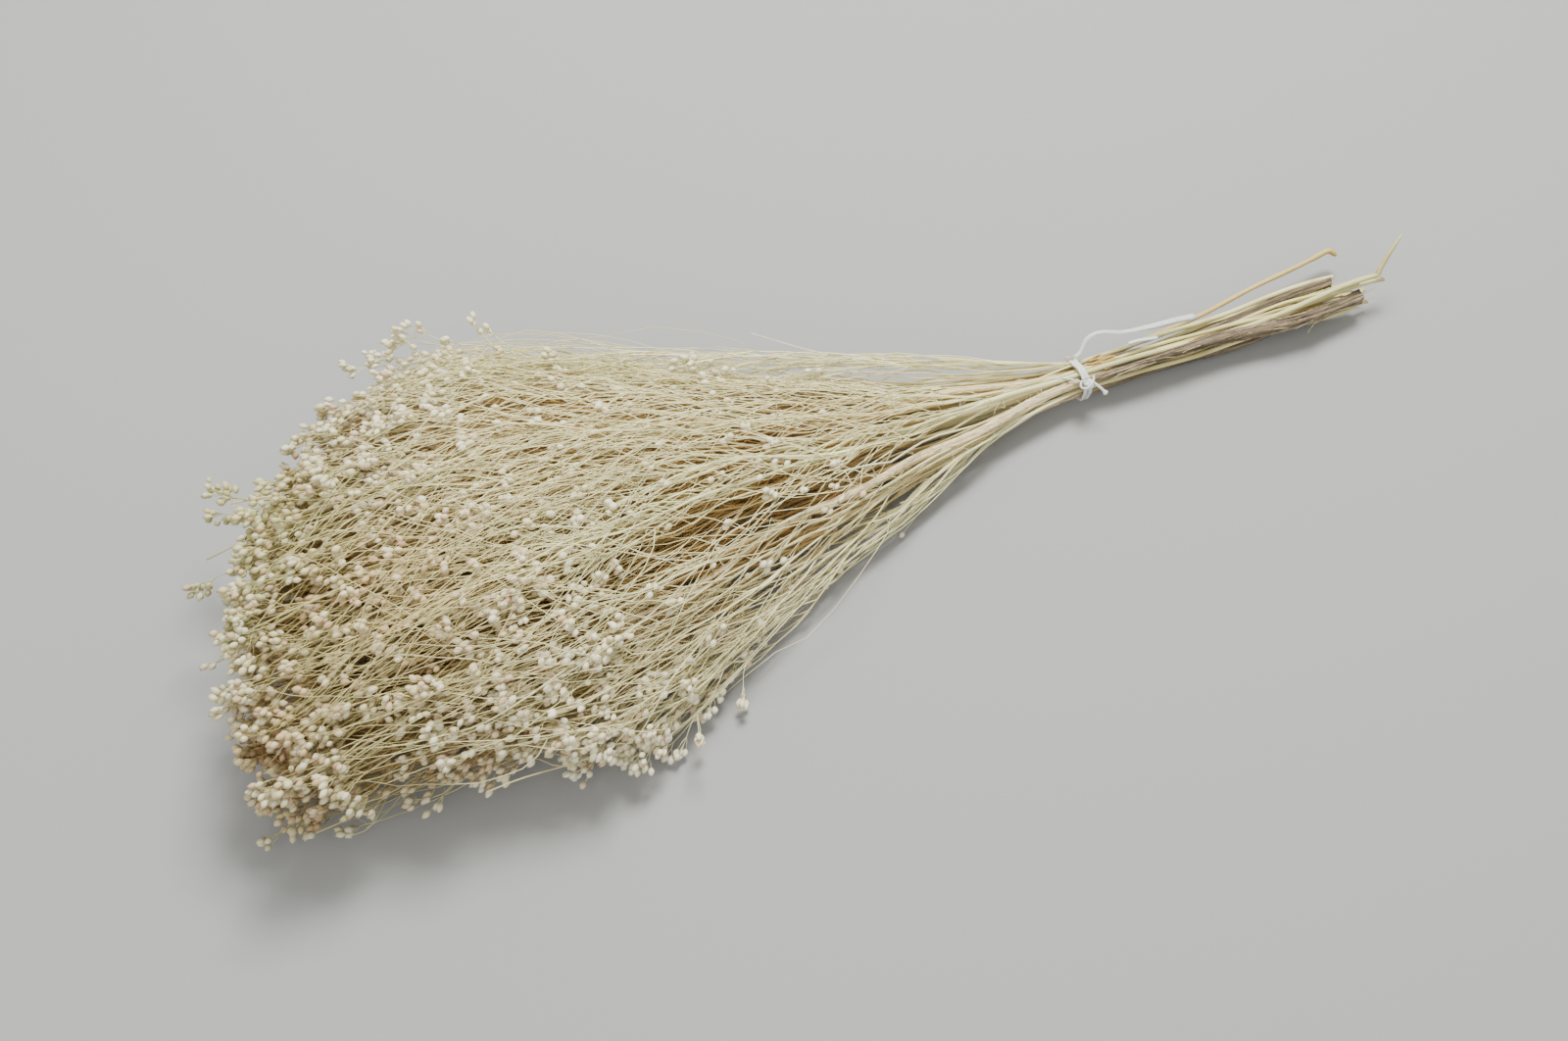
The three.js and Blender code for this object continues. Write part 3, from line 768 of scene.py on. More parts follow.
def dress(name, grain, stretch, shade, roughness, bump, distance, clear=0.0):
    """Colour from the tint attribute, mottled by a grain that also drives the bump and the roughness."""
    material = bpy.data.materials.new(name)
    tree, shader = nodes_of(material)
    link = tree.links.new
    tint = add_node(tree, "VertexColor", layer_name="tint")
    where = add_node(tree, "TexCoord")
    scale = add_node(tree, "Mapping")
    scale.inputs["Scale"].default_value = (grain * stretch, grain, grain)
    link(where.outputs["Object"], scale.inputs["Vector"])
    noise = add_node(tree, "TexNoise", Scale=1.0, Detail=4.0, Roughness=0.62)
    link(scale.outputs["Vector"], noise.inputs["Vector"])
    shaded = add_node(tree, "VectorMath", operation="SCALE")
    link(tint.outputs["Color"], shaded.inputs[0])
    link(remap(tree, noise.outputs["Fac"], 0.3, 0.7, *shade), shaded.inputs["Scale"])
    link(shaded.outputs["Vector"], shader.inputs["Base Color"])
    link(remap(tree, noise.outputs["Fac"], 0.3, 0.7, *roughness), shader.inputs["Roughness"])
    relief = add_node(tree, "Bump", Strength=bump, Distance=distance)
    link(noise.outputs["Fac"], relief.inputs["Height"])
    link(relief.outputs["Normal"], shader.inputs["Normal"])
    shader.inputs["Specular IOR Level"].default_value = 0.35
    shader.inputs["Transmission Weight"].default_value = clear
    return material


dry_material = dress("dry_strands", 2400, 0.1, (0.86, 1.1), (0.5, 0.72), 0.35, 0.0002)
capsule_material = dress("seed_capsules", 1500, 0.8, (0.88, 1.1), (0.6, 0.85), 0.4, 0.0003)
bark_material = dress("weathered_bark", 1300, 0.12, (0.5, 1.45), (0.8, 0.95), 1.0, 0.0007)
string_material = dress("tie_string", 1600, 0.25, (0.92, 1.04), (0.3, 0.5), 0.2, 0.0002, 0.25)
film_material = dress("tail_film", 1600, 0.25, (0.9, 1.04), (0.25, 0.45), 0.25, 0.0002, 0.5)


# The stems.
CUT_FACE = 3


def before(new, old):
    """The points, radii and colours of new rings, put before a tube's own."""
    return [np.concatenate(pair) for pair in zip(new, old)]


def put_cut_tube(sheaf, points, radii, colours, sides, slope):
    """A tube with the rings of a cut end before its first point: pale wood with a darker pith."""
    out = unit(points[0] - points[1])
    face = np.array([points[0] + out * d for d in (0.16, 0.13, 0.08)])
    face_radii = np.array([0.1, 0.32, 0.86]) * np.mean(radii[0])
    face_colours = np.array([PITH, mix(WOOD, PITH, 0.35), WOOD])
    if radii.ndim == 2:
        face_radii = np.repeat(face_radii[:, None], sides, 1)
    if colours.ndim == 3:
        face_colours = np.repeat(face_colours[:, None], sides, 1)
    slant = np.concatenate([np.full(CUT_FACE + 1, slope), np.zeros(len(points) - 1)])
    sheaf.tube(*before((face, face_radii, face_colours), (points, radii, colours)), sides, slant=slant)


def stem_limb(stem, sheaf, colour, steps=STEM_STEPS, waver=1.0):
    """A stem's limb, from its cut end to the tip of its spray."""
    handle = 26
    s = np.concatenate([
        np.linspace(-stem["cut"], -9, handle),
        np.linspace(-5, 5, 5),
        np.linspace(9, stem["reach"], steps - handle - 5),
    ])
    calm = smooth(np.abs(s), 5, 90)[:, None]
    sway = (waves(s, 4.2, (170, 80)) + kinks(s, 0.6, 30)) * calm * waver
    sway[s < 0] *= 0.6
    limb = Limb(stem["u"] + 0 * s, stem["v"] + 0 * s, s, sway, sheaf, colour)
    if stem is STRAY:
        loose = np.maximum(-s - 20, 0) / (CUT_END - 20)
        limb.points[:, 1] += STRAY_OFFSET * loose**1.3
    return limb


def bark_tube(sheaf, limb, stem):
    """A woody stem: furrowed bark in the handle, worn pale in places, tan further into the head, with
    painted shade in its furrows.
    """
    sides = 20
    even = np.concatenate([np.linspace(-stem["cut"], 25, 150), np.linspace(30, stem["reach"], 50)])
    points = resample(even, limb.s, limb.points)
    around = round_angles(sides)
    taper = smooth(even, 0.08 * stem["reach"], 0.8 * stem["reach"])
    swollen = 1.42 if stem is THICK else 1.0
    thick = mix(stem["radius"] * mix(swollen, 1.0, smooth(even, -80, 0)), 0.35, taper)
    furrows = np.zeros((len(even), sides))
    for waves_around, length, depth in ((5, 26, 0.06), (7, 17, 0.07), (9, 11, 0.065), (3, 60, 0.06)):
        phase = rng.random(2) * 2 * np.pi
        twist = 1.4 * np.sin(even / length + phase[1])
        furrows += depth * np.cos(waves_around * around + twist[:, None] + phase[0])
    furrows *= mix(1.5, 1, smooth(even, -10, 10))[:, None]
    rough = 1 + furrows * (1 - 0.6 * taper[:, None]) + normal(0, 0.04, furrows.shape)
    bulge = 1 + 0.1 * np.sin(even / 19 + rng.random() * 6) * np.sin(even / 47)
    radii = thick[:, None] * rough * bulge[:, None]
    patches = np.sin(even[:, None] / 23 + 2 * around + rng.random() * 6)
    worn = 0.5 + 0.5 * patches * np.sin(even[:, None] / 61 + 1)
    bark = mix(BARK_MID, BARK_PALE, smooth(worn, 0.45, 0.95)[..., None])
    # Painted shade: the bark nearly black down in its furrows.
    bark = mix(bark, FURROW_SHADE, smooth(-furrows, 0.0, 0.13)[..., None] * 0.9)
    # Painted shade and light on the tan in the head: darker in the furrows, paler on the ridges.
    tan = mix(limb.colour, TAN, 0.45) * (1 + 1.2 * furrows[..., None])
    colours = mix(bark, tan, smooth(even, -22, 22)[:, None, None])
    put_cut_tube(sheaf, points, radii, colours, sides, 0.25)


THICK = max((s for s in STEMS if s["woody"]), key=lambda s: s["v"] - s["u"])
sheaves = [Sheaf() for _ in STEMS]
woods = [Sheaf() for _ in STEMS]
limbs = []

for spray, stem in enumerate(STEMS):
    colour = strand_colour()
    if stem is KINKED:
        colour = mix(PALE_GREEN, CREAM, 0.4)
    if stem is STRAY:
        colour = mix(TAN, STRAW, 0.45)
    limb = stem_limb(stem, sheaves[spray], colour)
    limbs.append(limb)
    if stem["woody"]:
        bark_tube(woods[spray], limb, stem)
        continue
    points = limb.points
    share = smooth(limb.s, 0, 0.85 * stem["reach"])
    thick = stem["radius"] * (1 if stem in (STRAY, KINKED) else uniform(0.72, 1.0))
    radii = mix(thick, 0.3, share**0.75)
    nodes = np.sin(limb.s / uniform(7, 11) + rng.random() * 6) ** 12
    radii = radii * (1 + 0.12 * nodes + normal(0, 0.02, len(points)))
    dirt = np.interp(limb.s, np.linspace(-160, 400, 30), normal(0, 0.09, 30))
    colours = colour * (1 + dirt)[:, None]
    colours = mix(colours, TAN * 0.7, (0.45 * nodes * (rng.random() < 0.5))[:, None])
    if stem is KINKED:
        tip = points[0] + np.array([0.52, 0.33, 0.43]) * KINK_LENGTH
        bend = np.array([mix(tip, points[0], t) for t in (0, 0.12, 0.35, 0.6, 0.85, 0.96)])
        bend += normal(0, 0.35, bend.shape) * np.array([0, 1, 1, 1, 1, 0.4])[:, None]
        thin = np.array([0.14, 0.55, 0.74, 0.85, 0.95, 1.1]) * radii[0]
        brown = np.array([0.15, 0.2, 0.55, 0.75, 0.5, 0.3])[:, None]
        browned = mix(colour, TAN * 0.9, brown)
        limb.sheaf.tube(*before((bend, thin, browned), (points, radii, colours)), 9)
        continue
    if stem is STRAY:
        hook = points[0] + [(4.2, -3.2, -1.4), (3.4, -1.2, -0.6), (1.8, -0.1, 0)]
        swollen = np.array([0.7, 1.35, 1.4]) * radii[0]
        browned = mix(colours[:3], TAN, 0.5)
        points, radii, colours = before((hook, swollen, browned), (points, radii, colours))
        radii[3:5] *= 1.2
    put_cut_tube(limb.sheaf, points, radii, colours, 9, uniform(-0.8, 0.8))

# Thinner stems fill the gaps of the bundle.
for _ in range(THIN_STEMS):
    u, v = inside(*(uniform(-0.9, 0.9, 2)))
    spray = int(np.argmin([math.hypot(s["u"] - u, s["v"] - v) for s in STEMS]))
    reach = through(HEAD_REACH, u) * uniform(0.75, 0.95)
    thin = {"u": u, "v": v, "reach": reach, "cut": uniform(70, 150)}
    limb = stem_limb(thin, sheaves[spray], strand_colour(), THIN_STEM_STEPS, 0.8)
    limbs.append(limb)
    radii = mix(uniform(0.5, 0.72), 0.26, smooth(limb.s, 0, 300))
    colours = np.repeat(limb.colour[None], len(radii), 0)
    put_cut_tube(limb.sheaf, limb.points, radii, colours, 7, 0.5)

# Branches leave the stems and keep to the flow of the head.
stem_limbs = list(limbs)
for limb in stem_limbs:
    steps = len(limb.s)
    count = BRANCHES if steps == STEM_STEPS else BRANCHES // 2
    for b in range(count):
        begin = mix(8, 190, ((b + rng.random()) / count) ** 1.25)
        drift = sideways(0.14, 0.5)
        end_u, _ = inside(limb.u[-1] + drift[0], limb.v[-1] + drift[1])
        finish = through(HEAD_REACH, end_u) * uniform(0.8, 1.0)
        share = np.interp(begin, limb.s, np.linspace(0, 1, steps))
        branch = shoot(limb, share, finish - begin, drift, 32, 5, (130, 60), uniform(1.3, 2.4))
        put_limb(limb, branch, 5, 0.6, BRANCH_RADIUS, (0.75, 1.4), 0.22, 4)

# Twigs leave stems and branches.
for _ in range(TWIGS):
    parent = limbs[rng.integers(len(limbs))]
    share = uniform(0.2, 0.88)
    u, v, s, _ = parent.at(share)
    if s < 45 or (s < 150 and rng.random() < (0.9 if u < -0.45 else 0.4)):
        continue
    drift = sideways(0.06, 0.26)
    end_u, _ = inside(u + drift[0], v + drift[1])
    length = min(uniform(55, 130), through(HEAD_REACH, end_u) - s)
    if length < 25:
        continue
    twig = shoot(parent, share, length, drift, 12, 3, (64, 30), uniform(1.2, 2))
    put_limb(parent, twig, 4, 0.5, TWIG_RADIUS, (0.8, 1.3), 0.2)

# Where finer strands can leave a limb, for finding the nearest to a place.
GRID = 30
grid = np.array([resample(np.linspace(max(l.s[0], 20), l.s[-1], GRID), l.s, l.points) for l in limbs])
grid_start = -grid[:, 0, 0]
grid_end = -grid[:, -1, 0]


def nearest_limb(point, back):
    """The limb that a strand of that length to the point would leave, and where, and its heading."""
    s = -point[0] - back
    share = (s - grid_start) / (grid_end - grid_start)
    x = np.clip(share, 0, 0.999) * (GRID - 1)
    i = x.astype(int)
    rows = np.arange(len(limbs))
    roots = mix(grid[rows, i], grid[rows, i + 1], (x - i)[:, None])
    gap = np.linalg.norm(roots - point, axis=1)
    gap = np.where((share < 0) | (share > 1), gap + 60, gap) * uniform(0.85, 1.2, len(limbs))
    best = int(np.argmin(gap))
    heading = unit(grid[best, i[best] + 1] - grid[best, i[best]])
    return limbs[best], roots[best], heading


def crop(u, v, s):
    """How likely capsules are at a place: none near the tie, few on the bare far side, most at the rim."""
    begin = through(CAPSULE_FROM, u)
    full = smooth(s, begin - 30, begin + 40)
    few = 0.085 * smooth(s, 100, 150)
    rim = mix(0.2, 1, smooth(np.hypot(u, v), 0.45, 0.9)) * mix(0.22, 1, smooth(v, -0.7, 0.05))
    notch = (u < NOTCH_BELOW) & (s > NOTCH_START) & (s < NOTCH_END)
    return np.maximum(full, few) * rim * np.where(notch, 0.06, 1)


def flow_heading(u, v, s):
    return unit(place(u, v, s + 4) - place(u, v, s - 4))


# Sprigs of capsules, spread by that likelihood.
made = 0
while made < SPRIGS:
    radius = math.sqrt(rng.random())
    turn = rng.random() * 2 * math.pi
    u, v = 0.975 * radius * math.cos(turn), 0.975 * radius * math.sin(turn)
    s = uniform(100, 400)
    room = half_width(s) * top(s) / (HEAD_HALF_WIDTH * MOUND_HEIGHT)
    if s > through(HEAD_REACH, u) + normal(0, 6) or rng.random() > crop(u, v, s) * room:
        continue
    made += 1
    bare = s < through(CAPSULE_FROM, u)
    end = place(u, v, s)
    outward = unit(end - place(u * 0.5, v * 0.5, s))
    heading = unit(flow_heading(u, v, s) + outward * uniform(-0.1, 0.45) + normal(0, 0.32, 3))
    limb, root, start_heading = nearest_limb(end, uniform(12, 26) if bare else uniform(22, 62))
    points = arc(root, unit(start_heading + normal(0, 0.2, 3)), end, heading, 7)
    colour = put_offshoot(limb, points, 0.6, SPRIG_RADIUS, (0.85, 1.25), 0.18)
    put_cluster(limb.sheaf, points, colour, (u, v, s))

# Bare threads fill the head, most of them near its upper surface.
made = 0
while made < THREADS:
    limb = limbs[rng.integers(len(limbs))]
    u, v, s, waver = limb.at(uniform(0.05, 0.85))
    if s < 20 or (v < 0 and rng.random() < 0.5):
        continue
    if rng.random() > mix(0.12, 1, smooth(s, 60, 200)) * (0.15 if u < -0.42 and s < 190 else 1):
        continue
    length = uniform(45, 150)
    end_u, end_v = inside(u + normal(0, 0.22), v + normal(0, 0.2))
    end_s = s + length
    if end_s > through(HEAD_REACH, end_u) - 2:
        continue
    if end_u < NOTCH_BELOW - 0.02 and NOTCH_START - 4 < end_s < NOTCH_END + 2:
        continue
    made += 1
    start = place(u, v, s) + waver
    end = place(end_u, end_v, end_s)
    side = normal(0, 0.9 if rng.random() < 0.35 else 0.38, 3)
    leave = unit(flow_heading(u, v, s) + side)
    arrive = unit(flow_heading(end_u, end_v, end_s) - side)
    points = arc(start, leave, end, arrive, THREAD_STEPS)
    points += waves(points[:, 0], 2.6, (52, 25)) * ramp(THREAD_STEPS)
    put_offshoot(limb, points, 0.7, THREAD_RADIUS, (0.8, 1.45), 0.15)
    if rng.random() < 0.22 * crop(end_u, end_v, end_s) + 0.05:
        heading = unit(points[-1] - points[-2])
        put_capsule(limb.sheaf, points[-1], heading, (end_u, end_v, end_s), uniform(0.75, 1))

# Threads that lie across the others, on the upper surface.
for _ in range(CROSSING_THREADS):
    u = uniform(-0.8, 0.85)
    v = 0.96 * math.sqrt(1 - u * u)
    s = uniform(70, 330)
    length = uniform(30, 95)
    end_u = u + rng.choice([-1, 1]) * uniform(0.12, 0.5)
    if abs(end_u) > 0.93 or s + length > through(HEAD_REACH, end_u):
        continue
    end_v = 0.97 * math.sqrt(1 - end_u * end_u)
    ends = ((u, end_u), (v, end_v), (s, s + length))
    line = place(*(np.linspace(*pair, CROSSING_STEPS) for pair in ends))
    rise = np.sin(np.linspace(0, np.pi, CROSSING_STEPS))[:, None]
    line += waves(line[:, 0], 1.8, (50, 22)) + np.array([0, 0, 2.0]) * rise
    limb, root, _ = nearest_limb(line[0], uniform(6, 16))
    line = np.concatenate([[root], line])
    thick = THREAD_RADIUS * uniform(0.9, 1.5)
    colour = mix(CREAM, STRAW, 0.7 * rng.random())
    put_strand(limb.sheaf, line, thick, 0.15, 3, colour)
    if rng.random() < 0.5:
        where = (end_u, end_v, s + length)
        put_cluster(limb.sheaf, line[-4:], colour, where, rng.integers(1, 4))

# Hair-fine curls and torn fibres.
for _ in range(CURLS):
    u = uniform(-0.97, 0.9)
    v = 0.97 * math.sqrt(1 - u * u) * rng.choice([1, 1, 0.5])
    s = uniform(15, 260)
    point = place(u, v, s)
    limb, root, heading = nearest_limb(point, uniform(1, 8))
    t = ramp(CURL_STEPS)
    bend = leaning(heading, 0.6, 1.5)
    twist = leaning(bend, 1.0, 1.5)
    size = uniform(5, 16)
    coil = 1 - np.cos(uniform(2, 6) * t)
    line = root + size * (heading * t * 0.5 + bend * np.sin(2.2 * t) * 0.5 + twist * coil * 0.18)
    line[:, 2] = np.clip(line[:, 2], 0.5, top(s) + 6)
    put_strand(limb.sheaf, line, CURL_RADIUS * 1.2, CURL_RADIUS * 0.7, 3, CREAM)


def put_led(sheaf, line, radius, thin, colour):
    """A led strand. Gives the place of its tip."""
    put_strand(sheaf, line, radius, thin, 4, colour)
    return place_of(line[-1])


def put_fork(sheaf, start, axis, heading, lengths, steps, radius, colour):
    """A side strand that turns from the axis to the heading. Gives its points."""
    end = start + heading * uniform(*lengths)
    end[2] = max(end[2], 3)
    fork = arc(start, axis, end, heading, steps)
    put_strand(sheaf, fork, radius, 0.17, 3, colour)
    return fork


def put_spray(path, clusters, count, radius=0.3, steps=16):
    """A strand led through given points, with sprigs of capsules at its tip and on short side twigs."""
    limb, root, _ = nearest_limb(np.array(path[0], float), 14)
    line, _ = spline([root, *path], steps)
    colour = mix(CREAM, PALE_GREEN, uniform(0, 0.5))
    where = put_led(limb.sheaf, line, radius, 0.18, colour)
    put_cluster(limb.sheaf, line[-4:], colour, where, count)
    for k in range(clusters):
        t = mix(0.58, 0.97, (k + rng.random()) / clusters)
        i = min(int(t * (steps - 1)), steps - 2)
        way = line[i + 1] - line[i]
        heading = leaning(way, 0.35, 0.9)
        twig = put_fork(limb.sheaf, line[i], unit(way), heading, (9, 17), 6, SPRIG_RADIUS, colour)
        put_cluster(limb.sheaf, twig, colour, where, rng.integers(3, 6))


def put_line(path, radius, colour, steps=24):
    """A strand with forks, led through given points from the nearest limb."""
    limb, _, _ = nearest_limb(path[0], 0)
    line, _ = spline(path, steps)
    line[:, 1:] += waves(line[:, 0], 2.2, (90, 38))[:, 1:] * smooth(np.arange(steps), 0, 7)[:, None]
    where = put_led(limb.sheaf, line, radius, 0.2, colour)
    put_cluster(limb.sheaf, line[-4:], colour, where, rng.integers(1, 4))
    for i in rng.integers(steps // 3, steps - 3, 3):
        axis = unit(line[i + 1] - line[i])
        heading = leaning(axis, 0.1, 0.45)
        if (heading - axis)[1] * line[i][1] > 0:
            heading = 2 * axis * (heading @ axis) - heading
        fork = put_fork(limb.sheaf, line[i], axis, heading, (18, 55), 7, 0.6 * radius, colour)
        if rng.random() < 0.5:
            put_capsule(limb.sheaf, fork[-1], heading, where, uniform(0.8, 1))


# Strands that bow out along both edges, with a few capsules on forks.
FAR_EDGE = np.array([
    (2, 5, 17), (-28, 14, 21), (-62, 27, 25), (-106, 42, 29),
    (-168, 61, 38), (-226, 79, 43), (-278, 90, 45),
])
NEAR_EDGE = np.array([
    (2, -6, 13), (-44, -15, 13), (-84, -31, 10), (-128, -49, 10),
    (-176, -68, 12), (-222, -88, 14), (-254, -97, 13),
])
for edge, count, thick in ((FAR_EDGE, 20, 0.42), (NEAR_EDGE, 8, 0.45)):
    grow = ramp(len(edge))
    for _ in range(count):
        inwards = np.array([0, -np.sign(edge[-1, 1]) * rng.exponential(11), normal(0, 5)])
        path = edge + inwards * grow**0.7 + normal(0, 2, edge.shape) * grow
        path[:, 2] = np.maximum(path[:, 2], 4)
        path = path[:rng.integers(5, len(edge) + 1)]
        put_line(path, thick * uniform(0.6, 1.5), strand_colour())

# Sprays that stand clear of the mass: their way, side sprigs and capsules at the tip, and a radius.
for row in (
    ([(-168, 60, 42), (-226, 81, 46), (-262, 94, 46), (-300, 104, 44)], 7, 5),
    ([(-190, 66, 44), (-240, 86, 48), (-272, 98, 50), (-290, 106, 50)], 5, 5),
    ([(-205, 68, 42), (-255, 90, 43), (-292, 101, 41), (-314, 108, 40)], 6, 5),
    ([(-318, 28, 66), (-345, 36, 62), (-366, 45, 55), (-382, 59, 51)], 5, 5),
    ([(-330, 24, 62), (-352, 32, 57), (-372, 42, 52), (-384, 50, 48)], 4, 4),
    ([(-345, 12, 62), (-368, 16, 56), (-386, 19, 50), (-399, 20, 46)], 2, 4),
    ([(-350, -4, 52), (-370, -9, 47), (-388, -8, 42), (-401, -12, 36)], 0, 2),
    ([(-350, -12, 44), (-372, -16, 40), (-390, -20, 34), (-402, -22, 30)], 3, 5),
    ([(-290, -76, 22), (-312, -82, 16), (-326, -88, 12), (-338, -94, 10)], 0, 1),
    ([(-170, -66, 14), (-206, -86, 13), (-232, -98, 13), (-256, -104, 12)], 4, 4),
    ([(-150, -56, 14), (-186, -76, 14), (-214, -91, 13), (-236, -100, 13)], 2, 3),
    ([(-54, -17, 13), (-84, -32, 9), (-106, -41, 7), (-124, -47, 9), (-140, -53, 12)], 0, 1, 0.5),
    ([(-352, -52, 42), (-372, -64, 30), (-383, -74, 16), (-392, -80, 9)], 4, 4),
    ([(-356, -44, 44), (-378, -56, 32), (-388, -62, 20), (-398, -69, 12)], 3, 4),
):
    put_spray(*row)

# Peeling fibres on the thick woody stem, and splinters of a broken stem beside the tie.
thick_line = limbs[STEMS.index(THICK)]
thick_wood = woods[STEMS.index(THICK)]
beside_tie = sheaves[STEMS.index(KINKED)]
for _ in range(FIBRES):
    s = -uniform(8, 140)
    x = float(np.interp(s, thick_line.s, np.arange(STEM_STEPS)))
    i = int(x)
    centre = mix(thick_line.points[i], thick_line.points[i + 1], x - i)
    along = unit(thick_line.points[i + 1] - thick_line.points[i]) * rng.choice([-1, 1])
    turn = uniform(0.7, 3.2)
    out = np.array([0, math.cos(turn), math.sin(turn)])
    aside = np.array([0, -math.sin(turn), math.cos(turn)])
    t = ramp(FIBRE_STEPS)
    lift = THICK["radius"] * mix(1.0, 1.36, smooth(-s, 10, 80)) + 0.15
    fibre = centre + out * (lift + rng.exponential(2.0) * t**3) + aside * normal(0, 1.6) * t * t
    fibre = fibre + along * uniform(9, 32) * t
    colour = mix(BARK_PALE, STRAW, 0.6 * rng.random()) * uniform(0.45, 1.1)
    thick_wood.tube(fibre, np.linspace(0.3, 0.12, FIBRE_STEPS) * uniform(0.6, 1.5), colour, 4)
for k in range(SPLINTERS):
    t = ramp(SPLINTER_STEPS)
    across = k / (SPLINTERS - 1)
    side = mix(7.5, -3, across)
    high = math.sqrt(max(0.95 * BUNDLE_RADIUS**2 - side**2, 1))
    root = np.array([uniform(3, 13), side, TIE_AXIS - 0.4 + high])
    goal = root + (uniform(7, 15), uniform(-2.5, 1.5), uniform(-0.8, 0.9))
    bow = np.array([0, 0, 1]) * uniform(-0.5, 1.0) * np.sin(np.pi * t)
    splinter = mix(root, goal, t) + bow
    colour = mix(GOLDEN, STRAW, 0.4 * rng.random())
    thick = np.linspace(0.62, 0.2, SPLINTER_STEPS) * uniform(0.7, 1.1)
    beside_tie.tube(splinter, thick, colour, 5)


def mount(piece, node=None):
    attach(piece, "root")
    if node:
        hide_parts(node)


for spray, stem in enumerate(STEMS):
    number = f"{spray + 1:02d}"
    node = ("woody_spray_" if stem["woody"] else "spray_") + number
    sheaf = sheaves[spray]
    # Strands take the head's painted shade at strength 1, capsules at 0.6.
    mount(make_object(f"strands_{number}", tube_parts(sheaf), dry_material, 6, 1.0), node)
    if woods[spray].tubes:
        mount(make_object(f"woody_stem_{number}", tube_parts(woods[spray]), bark_material, 6))
    if sheaf.capsules:
        parts = capsule_parts(sheaf)
        mount(make_object(f"capsules_{number}", parts, capsule_material, 1, 0.6))


def round_bundle(a, out):
    """The point at angle a that lies that far off the bundle."""
    y, z = math.cos(a), math.sin(a)
    reach = max(s["at"].real * y + s["at"].imag * z + s["radius"] for s in STEMS) + out
    return np.array([WRAP_SLANT * reach * y, reach * y, TIE_AXIS + reach * z])


def flattened(width, thickness, sides):
    """The radii round a tube's section that make it an ellipse."""
    turn = round_angles(sides)
    return width * thickness / np.hypot(thickness * np.cos(turn), width * np.sin(turn))


# The tie: two turns, a knot and a short tail with a bulb, a scrap of film, and the long tail.
RING_STEPS = 57
LOOP_STEPS = 30
SHORT_STEPS = 20
KNOT_LOOP = [
    (0, 0, 0.5), (-3, 1.6, 1.9), (-4.6, -0.8, 1.3), (-2.4, -2.2, 0.8),
    (0.6, -1.2, 1.7), (2.6, 0.8, 1.4), (3.6, 2.8, 1),
]
FILM_SCRAP = [(26, 3.5, 22.2), (31, 3, 22.7), (36, 1.8, 23.1), (40, 1, 23.2)]
tie = Sheaf()
for side in (-1, 1):
    angles = np.linspace(0, 2 * np.pi, RING_STEPS)
    ring = np.array([round_bundle(a, WRAP_GAP + STRING_RADIUS) for a in angles])
    ring[:, 0] += side * TURN_SPACING / 2 + 0.3 * np.sin(angles * 2 + side)
    tie.tube(ring, flattened(0.72, 1.08, 12)[None], STRING, 12, side_axis=(1, 0, 0))
knot = round_bundle(KNOT_ANGLE, WRAP_GAP + KNOT_RADIUS * 0.75)
t = np.linspace(0, 2 * np.pi, 61)
trefoil = 0.72 * np.stack([
    np.sin(t) + 2 * np.sin(2 * t),
    np.cos(t) - 2 * np.cos(2 * t),
    -1.3 * np.sin(3 * t),
], -1)
tie.tube(knot + trefoil, 0.7, STRING, 8)
swell = STRING_RADIUS * 0.8 + 0.65 * hill(np.arange(SHORT_STEPS), 17.5, 1.5)
swell[-1] = 0.5
for route, radii, sides in (
    ([(0, 0, 0), *SHORT_TAIL], swell, 10),
    ([(0, 0, 0), (-4, 2.5, 1.2), (-10, 6.5, 1.5), (-17, 9, 1.6)], np.linspace(0.5, 0.2, 20), 6),
    (KNOT_LOOP, np.full(LOOP_STEPS, 0.55), 6),
):
    line, _ = spline([knot + p for p in route], len(radii))
    tie.tube(line, radii, STRING, sides)
scrap, _ = spline(FILM_SCRAP, 12)
tie.tube(scrap, flattened(1.1, 0.2, 10)[None], 0.9 * STRING, 10)
mount(make_object("tie_knot_and_turns", tube_parts(tie), string_material, 4), "tie_wrap")

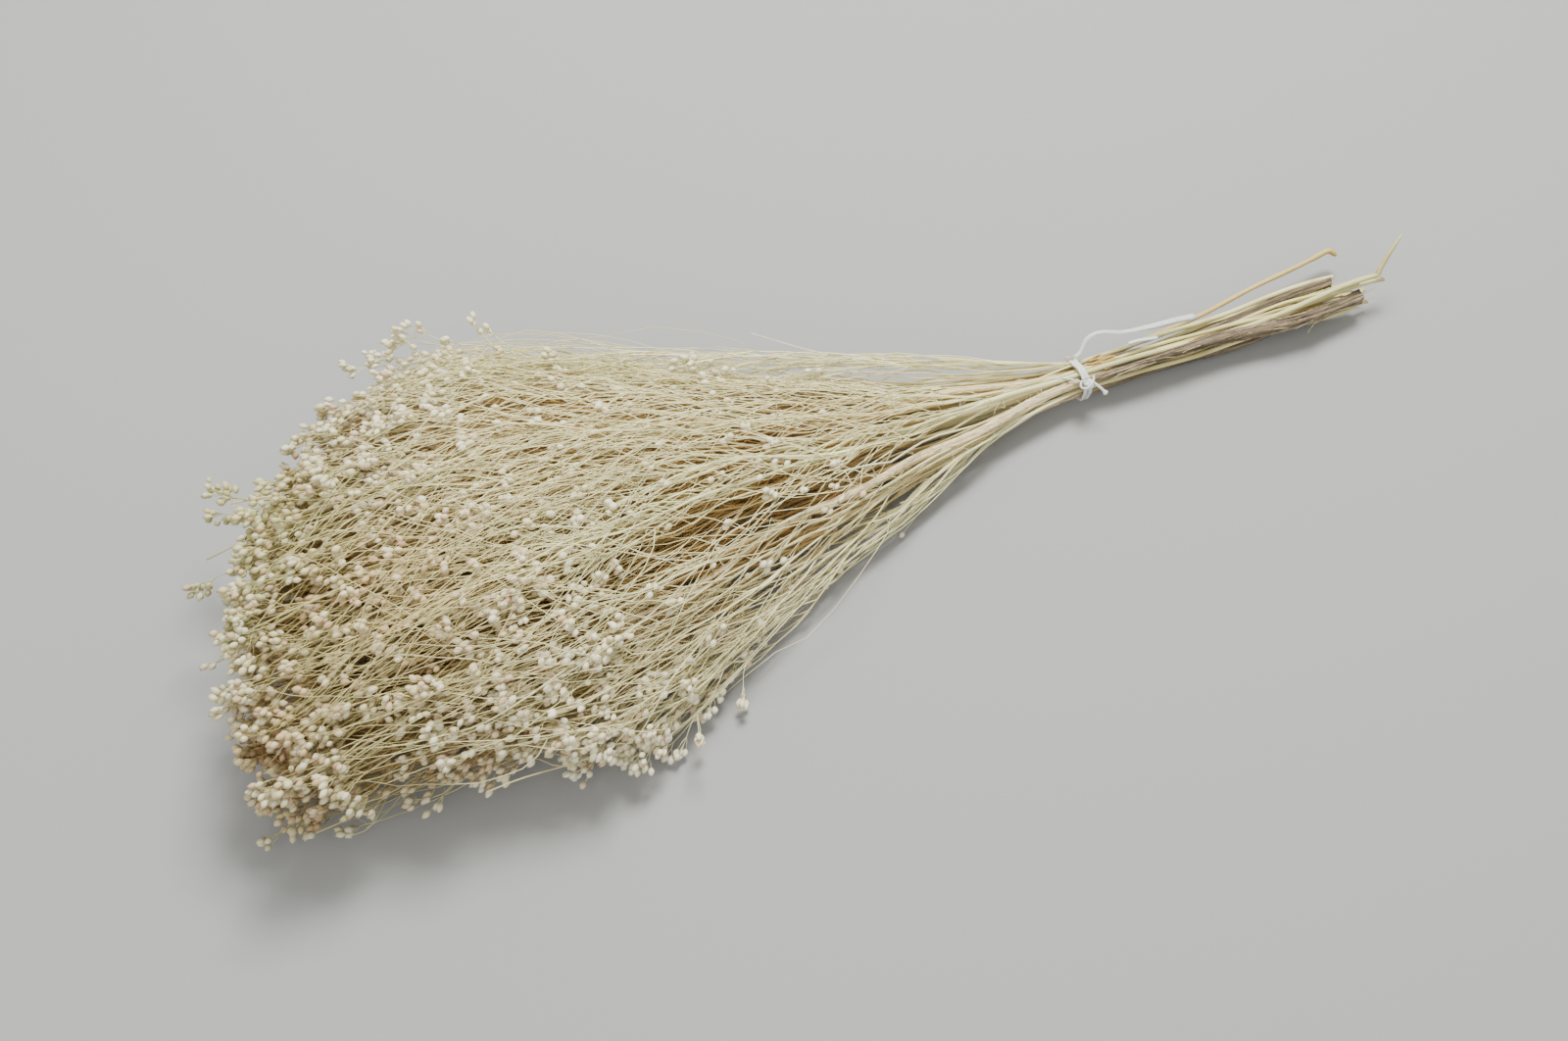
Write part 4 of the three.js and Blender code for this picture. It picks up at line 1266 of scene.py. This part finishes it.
on_turns = round_bundle(LONG_TAIL_ANGLE, WRAP_GAP + 3 * STRING_RADIUS + LONG_TAIL_GAP)
route = [(-3.5, on_turns[1], on_turns[2]), (3.5, on_turns[1], on_turns[2]), *LONG_TAIL]
TAIL_STEPS = 40
tail_line, tail_length = spline(route, TAIL_STEPS)
tail = Sheaf()
film = smooth(np.arange(TAIL_STEPS), 16, 33)
section = np.array([flattened(mix(1.15, 2.3, f), mix(0.75, 0.28, f), 12) for f in film])
singed = hill(np.arange(TAIL_STEPS), 1.5, 1.2)[:, None]
tail.tube(tail_line, section, mix(STRING, 0.7 * TAN, 0.8 * singed), 12)
piece = make_object("tie_long_tail", tube_parts(tail), film_material, 4)
mount(piece, "tie_tail")
[tuple(p) for p in (tail_line + ORIGIN) * MM]

# Camera, light and floor.
ELEVATION = math.radians(60)
AZIMUTH = math.radians(-21.4)
DISTANCE = 0.764
target = ORIGIN * MM + (-0.15686, -0.02542, 0.02)
back = np.array([
    math.sin(AZIMUTH) * math.cos(ELEVATION), -math.cos(AZIMUTH) * math.cos(ELEVATION), math.sin(ELEVATION),
])
camera = add_object("camera", bpy.data.cameras.new("camera"))
camera.data.lens = 40
camera.data.clip_start = 0.01
camera.location = target + back * DISTANCE
camera.rotation_euler = (math.pi / 2 - ELEVATION, 0, AZIMUTH)
bpy.context.scene.camera = camera

floor_mesh = bpy.data.meshes.new("floor")
floor_mesh.from_pydata([(-4, -4, 0), (4, -4, 0), (4, 4, 0), (-4, 4, 0)], [], [(0, 1, 2, 3)])
floor = add_object("floor", floor_mesh)
floor_material = bpy.data.materials.new("floor")
_, shader = nodes_of(floor_material)
shader.inputs["Base Color"].default_value = (0.3, 0.305, 0.3, 1)
shader.inputs["Roughness"].default_value = 0.9
floor_mesh.materials.append(floor_material)


def area_light(name, location, aim, size, power, colour=(1, 1, 1)):
    light = add_object(name, bpy.data.lights.new(name, "AREA"))
    light.data.size = size
    light.data.energy = power
    light.data.color = colour
    light.location = location
    x, y, z = np.array(aim) - np.array(location)
    light.rotation_euler = (math.atan2(math.hypot(x, y), -z), 0, math.atan2(y, x) - math.pi / 2)


area_light("key", (0.4, 0.7, 1.5), (-0.05, 0, 0), 0.6, 64, (1, 0.985, 0.95))
area_light("fill", (-0.9, -0.9, 1.1), (-0.05, 0, 0), 1.4, 12, (1, 0.99, 0.97))
world = bpy.data.worlds.new("world")
bpy.context.scene.world = world
world.use_nodes = True
sky = world.node_tree.nodes["Background"].inputs
sky["Color"].default_value = (1, 0.99, 0.96, 1)
sky["Strength"].default_value = 0.72
